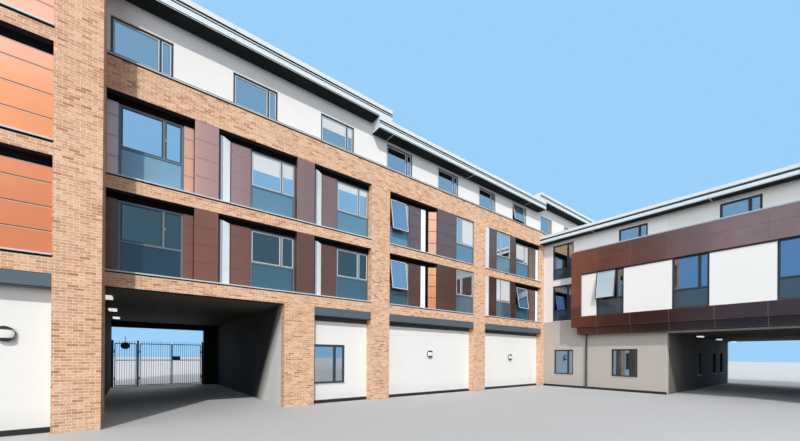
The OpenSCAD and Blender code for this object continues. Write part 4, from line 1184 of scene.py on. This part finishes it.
def dress_short_roof():
    soffit, covers, seams, cap, gutter = [Build(court) for _ in range(5)]
    length, z, top = SHORT_END + 310, 4940, 5170
    for a, c in steps(even(0, length, round(length / 600))):
        for y0, w in ((-286, 122), (-156, 150), (7906, 150), (8064, 122)):
            soffit.lining(a + 2, y0 + w, z, c - a - 4, w, 5)
        seams.block(max(a - 5, 4), max(a + 5, 14), -298, 8198, top, top + 14, 2)
    for a in even(0, length, 7)[1:-1]:
        covers.plate(a - 25, -300, z + 16, 50, 78, 3, 1)
        covers.plate(a - 25, -310, z + 154, 50, 74, 3, 1)
    for y in (-310, 8180):
        cap.block(0, length, y, y + 30, top, top + 9, 2)
    soffit.kind = 1
    for a in (1706, 4500, 7290, 9900):
        soffit.lining(a - 11, -2, z - 4, 22, 294, 6)
    gutter.rod((0, -296, z + 122), (length, -296, z + 122), 15, 12)
    for a in even(120, length - 120, 24):
        gutter.block(a - 4, a + 4, -313, -284, z + 104, z + 140, 1.5)
    make("short_eaves_boards", soffit, "soffit_board trim_light")
    make("short_fascia_covers", covers, "fascia_light")
    make("short_roof_seams", seams, "roof_sheet")
    make("short_roof_caps", cap, "fascia_light")
    make("short_gutter", gutter, "black_paint", smooth=True)


def dress_parapet():
    """Coping in lengths round the top of the block, and the seams of the roof inside it."""
    b = Build()
    top = (PARAPET, PARAPET + 9, 2)
    for x0, x1, y0, y1 in ((-2398, 8, -573, -367), (-2398, -2192, -367, 7008), (-198, 8, -367, 6802),
                           (-2192, 8, 6802, 7008)):
        count = round(max(x1 - x0, y1 - y0) / 1200)
        if x1 - x0 > y1 - y0:
            for a, c in steps(even(x0, x1, count)):
                b.block(a + 1, c - 1, y0, y1, *top)
        else:
            for a, c in steps(even(y0, y1, count)):
                b.block(x0, x1, a + 1, c - 1, *top)
    for x in even(-2200, -190, 4)[1:-1]:
        b.block(x - 5, x + 5, -375, 6810, 6425, 6439, 2)
    make("parapet_coping", b, "trim_light")


def light_cap(b, x, y, z, sign):
    """The black cap over the upper or lower part of a round light, cut level at its inner side."""
    start = math.asin(50 / 92)
    arc = even(start, math.pi - start, 18)
    points = []
    for depth, r, cut in ((20, 92, 50), (58, 92, 50), (67, 84, 53), (70, 60, 57)):
        points += [(x + r * math.cos(t), y - depth, z + sign * max(r * math.sin(t), cut)) for t in arc]
    b.add(points, [face[::sign] for face in closed(19, 4)])


DRUM = [(0.5, 0), (86, 0), (90, 4), (90, 26), (87, 30), (0.5, 30)]
LENS = [(86, 0), (87, 8), (82, 20), (66, 28), (40, 33), (12, 34), (0.5, 34)]


def wall_lights(b):
    """Round bulkhead lights: a black drum, a pale lens, and black caps that leave a level band of it bare."""
    for x, face, z in ((6541, 0, 1060), (10086, 0, 990), (-889, BLOCK_FACE, 1235)):
        y = face + GROUND_RECESS
        b.kind = 0
        b.turned((x, y, z), MINUS_Y, DRUM, 56)
        b.kind = 1
        b.turned((x, y - 29, z), MINUS_Y, LENS, 56)
        b.kind = 0
        for sign in (1, -1):
            light_cap(b, x, y, z, sign)


def ceiling_light(b, x0, x1, y0, y1, top):
    """A base plate on the passage's ceiling with a lens below it."""
    b.kind = 0
    b.block(x0, x1, y0, y1, top - 12, top, 3)
    b.kind = 3
    b.block(x0 + 8, x1 - 8, y0 + 8, y1 - 8, top - 44, top - 11, 9)


def rain_pipe(b):
    """The pipe on the court wall with its collars, two brackets and shoe."""
    x, y = 1475, -37
    b.kind = 2
    b.at = court
    b.rod((x, y, 0), (x, y, BASE_FOOT), 25, 24)
    for z in (40, 400, 1060, 1300, 1690):
        b.rod((x, y, z), (x, y, z + 34), 29, 24)
    for z in (399, 1301):
        b.block(x - 12, x + 12, y, 0, z, z + 30, 2)
    b.rod((x, y, 60), (x, y - 25, 12), 25, 24)
    b.at = as_is


def dress_fittings():
    """Wall fittings, which stand for the plain CAD ones."""
    b = Build()
    wall_lights(b)
    vent_x, vent_z = 7625, 1644
    b.kind = 1
    b.block(vent_x, vent_x + 300, 168, 181, vent_z, vent_z + 62, 3)
    for k in range(5):
        b.block(vent_x + 14, vent_x + 286, 162, 170, vent_z + 8 + 10 * k, vent_z + 13 + 10 * k, 1)
    for y in (910, 3010, 5110):
        ceiling_light(b, -100, 60, y, y + 400, GROUND_TOP)
    for share in (0.25, 0.57, 0.89):
        x = CORNER + share * 7900
        ceiling_light(b, x, x + 400, -3905, -3775, SHORT_TOP)
    rain_pipe(b)
    b.kind = 0
    # Two short spouts in the brick bands
    for z in (5025, 3600):
        b.rod((9610, 8, z), (9610, -32, z - 6), 14, 16)
    b.block(CORNER + 1542, CORNER + 1582, SHORT_NEAR - 16, SHORT_NEAR, 1035, 1075, 3)
    ob = make("fittings", b, "black_paint light_lens pipe_grey ceiling_lamp_lens")
    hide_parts("wall_fittings")


def dress_slits():
    """Dark glass, frames and light sills of the slits in the passage wall."""
    b = Build()
    for x in (3190, 5260, 6390):
        x0, x1 = CORNER + x, CORNER + x + 460
        b.kind = 0
        b.block(x0 + 22, x1 - 22, -3528, -3520, 472, 1188)
        b.kind = 1
        for a, c, z0, z1 in ((x0, x0 + 22, 450, 1210), (x1 - 22, x1, 450, 1210),
                             (x0 + 22, x1 - 22, 1188, 1210), (x0 + 22, x1 - 22, 450, 472)):
            b.block(a, c, -3545, -3516, z0, z1, 2)
        b.kind = 2
        b.block(x0 - 12, x1 + 12, -3596, -3530, 436, 450, 2)
    make("slit_windows", b, "slit_glass frame_black sash_light")


def dress_gates():
    """A bare plate on the right leaf beside the meeting stile, and an oval with a knob on the foot gate."""
    plate = Build()
    plate.plate(1356, 6893, 830, 214, 112, 6, 2)
    make("gate_plate", plate, "black_paint", body="car_gate_right")
    oval = Build()
    mid_x, mid_z = 152, 1259
    points = []
    for y, size in ((6893, 1), (6886, 1), (6884, 0.95)):
        points += [(mid_x + 118 * size * math.cos(t), y, mid_z + 104 * size * math.sin(t))
                   for t in even(0, 2 * math.pi, 48)[:-1]]
    oval.add(points, closed(48, 3))
    oval.rod((mid_x, 6898, 1330), (mid_x, 6898, 1520), 7, 12)
    oval.turned((mid_x, 6898, 1512), Z, [(7, 0), (13, 8), (14, 16), (9, 24), (2, 28)], 20)
    make("gate_oval", oval, "black_paint", body="foot_gate", smooth=True)


def dress_walls():
    """Lines on the render, dark strips painted as the shade under the ground fascia and under the box's band,
    and the drips of the recesses.
    """
    bead = Build(court)
    for x0, x1 in ((0, 1136), (9004, SHORT_END)):
        bead.block(x0, x1, -3, 1, 2218, 2228, 1)
    bead.block(3567, 3575, -3, 1, 70, SHORT_TOP, 1)
    make("render_beads", bead, "fascia_light")
    head = Build()
    # Painted shade under the ground fascia
    for x0, x1 in GROUND_SPANS:
        for a, c in steps(even(x0, x1, round((x1 - x0) / 1500))):
            head.block(a + 1, c - 1, GROUND_RECESS - 6, GROUND_RECESS, 1722, 1814, 1.5)
    # Painted shadow of the box's band over its white panels
    head.at = court
    for x0, x1 in ((1442, 1873), (2627, 3753), (4507, 5633), (6387, 7513), (8267, 8698)):
        head.block(x0, x1, -316, -311, 3588, 3623, 1)
    make("head_shadow_strips", head, "recess_head")
    drip = Build()
    for x0, x1, y in [(x0, x1, 5) for x0, x1 in GROUND_SPANS] + [(*BLOCK_BAY, BLOCK_FACE + 5)]:
        drip.block(x0, x1, y - 5, y + 6, RECESS_HEAD, RECESS_HEAD + 8, 1.5)
        for a in even(x0, x1, round((x1 - x0) / 1500))[1:-1]:
            drip.block(a - 2, a + 2, y - 2, y + 2, RECESS_HEAD + 8, GROUND_TOP - 2, 0.8)
    make("fascia_drips", drip, "dark_strip")


def dress_sills():
    """Laps in the long sills, the dark lines below them painted as their shadows, and a dark seal at the foot
    of the top wall.
    """
    laps, lines = Build(), Build()
    sill_runs = [(x0, x1, sill) for x0, x1 in BAY_SPANS for sill in (2215, 3635)]
    for x0, x1, sill in sill_runs:
        for a in even(x0, x1, round((x1 - x0) / 1500) + 1)[1:-1]:
            laps.block(a - 20, a + 20, -22, 120, sill + 19, sill + 22, 1)
        # A painted shadow under each long sill
        lines.block(x0, x1, -6, 0, sill - 18, sill - 1, 1.5)
    for k in range(1, 13):
        laps.block(1500 * k - 20, 1500 * k + 20, -22, 14, 5399, 5402, 1)
    # A painted shadow under the top sill, and above it a dark seal at the foot of the top wall
    lines.block(0, EAST - WALL, -6, 0, 5362, 5379, 1.5)
    lines.block(0, EAST - WALL, 10, 15, 5401, 5430, 1.5)
    # Painted shadows under the block's sills
    for z in (2215, 3635, 5055):
        lines.block(*BLOCK_BAY, BLOCK_FACE - 6, BLOCK_FACE, z - 24, z - 1, 1.5)
    make("sill_laps", laps, "sill_metal")
    make("sill_shadows_and_seal", lines, "black_gap_and_shade")


def dress_ceilings():
    ceiling, short_ceiling = Build(), Build()
    for k in range(5):
        for x in (-170, 760, 1690):
            ceiling.lining(x + 2, 200 + (k + 1) * 1320 - 2, GROUND_TOP, 926, 1316, 4, 1)
    for k in range(6):
        for y1, y0 in ((-3580, -4570), (-4570, -5560), (-5560, -6560)):
            short_ceiling.lining(CORNER + 172 + k * 1260, y1 - 2, SHORT_TOP, 1256, y1 - y0 - 4, 4, 1)
    make("passage_ceiling", ceiling, "passage_ceiling")
    make("short_passage_ceiling", short_ceiling, "short_passage_ceiling")


def set_stage():
    """A floor that is dark where it lights the building and pale where it is seen."""
    me = bpy.data.meshes.new("floor")
    r = 140
    me.from_pydata([(-r, -r, 0), (r, -r, 0), (r, r, 0), (-r, r, 0)], [], [(0, 1, 2, 3)])
    m = Mat("stage_floor", rough=0.9)
    pale = m.mix(m.noise(0.3, 2.0), srgb(194, 195, 196), srgb(200, 201, 202))
    m.done(m.mix(seen_plainly(m.t), srgb(66, 67, 70), pale))
    me.materials.append(m.m)
    ob = add_object("floor", me)
    ob.location.z = -0.002


set_camera()
set_light()
dress_nodes()
lay_court_bricks()
lay_block_bricks()
clad_bays()
clad_block()
clad_box()
dress_windows()
dress_long_roofs()
dress_short_roof()
dress_parapet()
dress_fittings()
dress_slits()
dress_gates()
dress_walls()
dress_sills()
dress_ceilings()
set_stage()
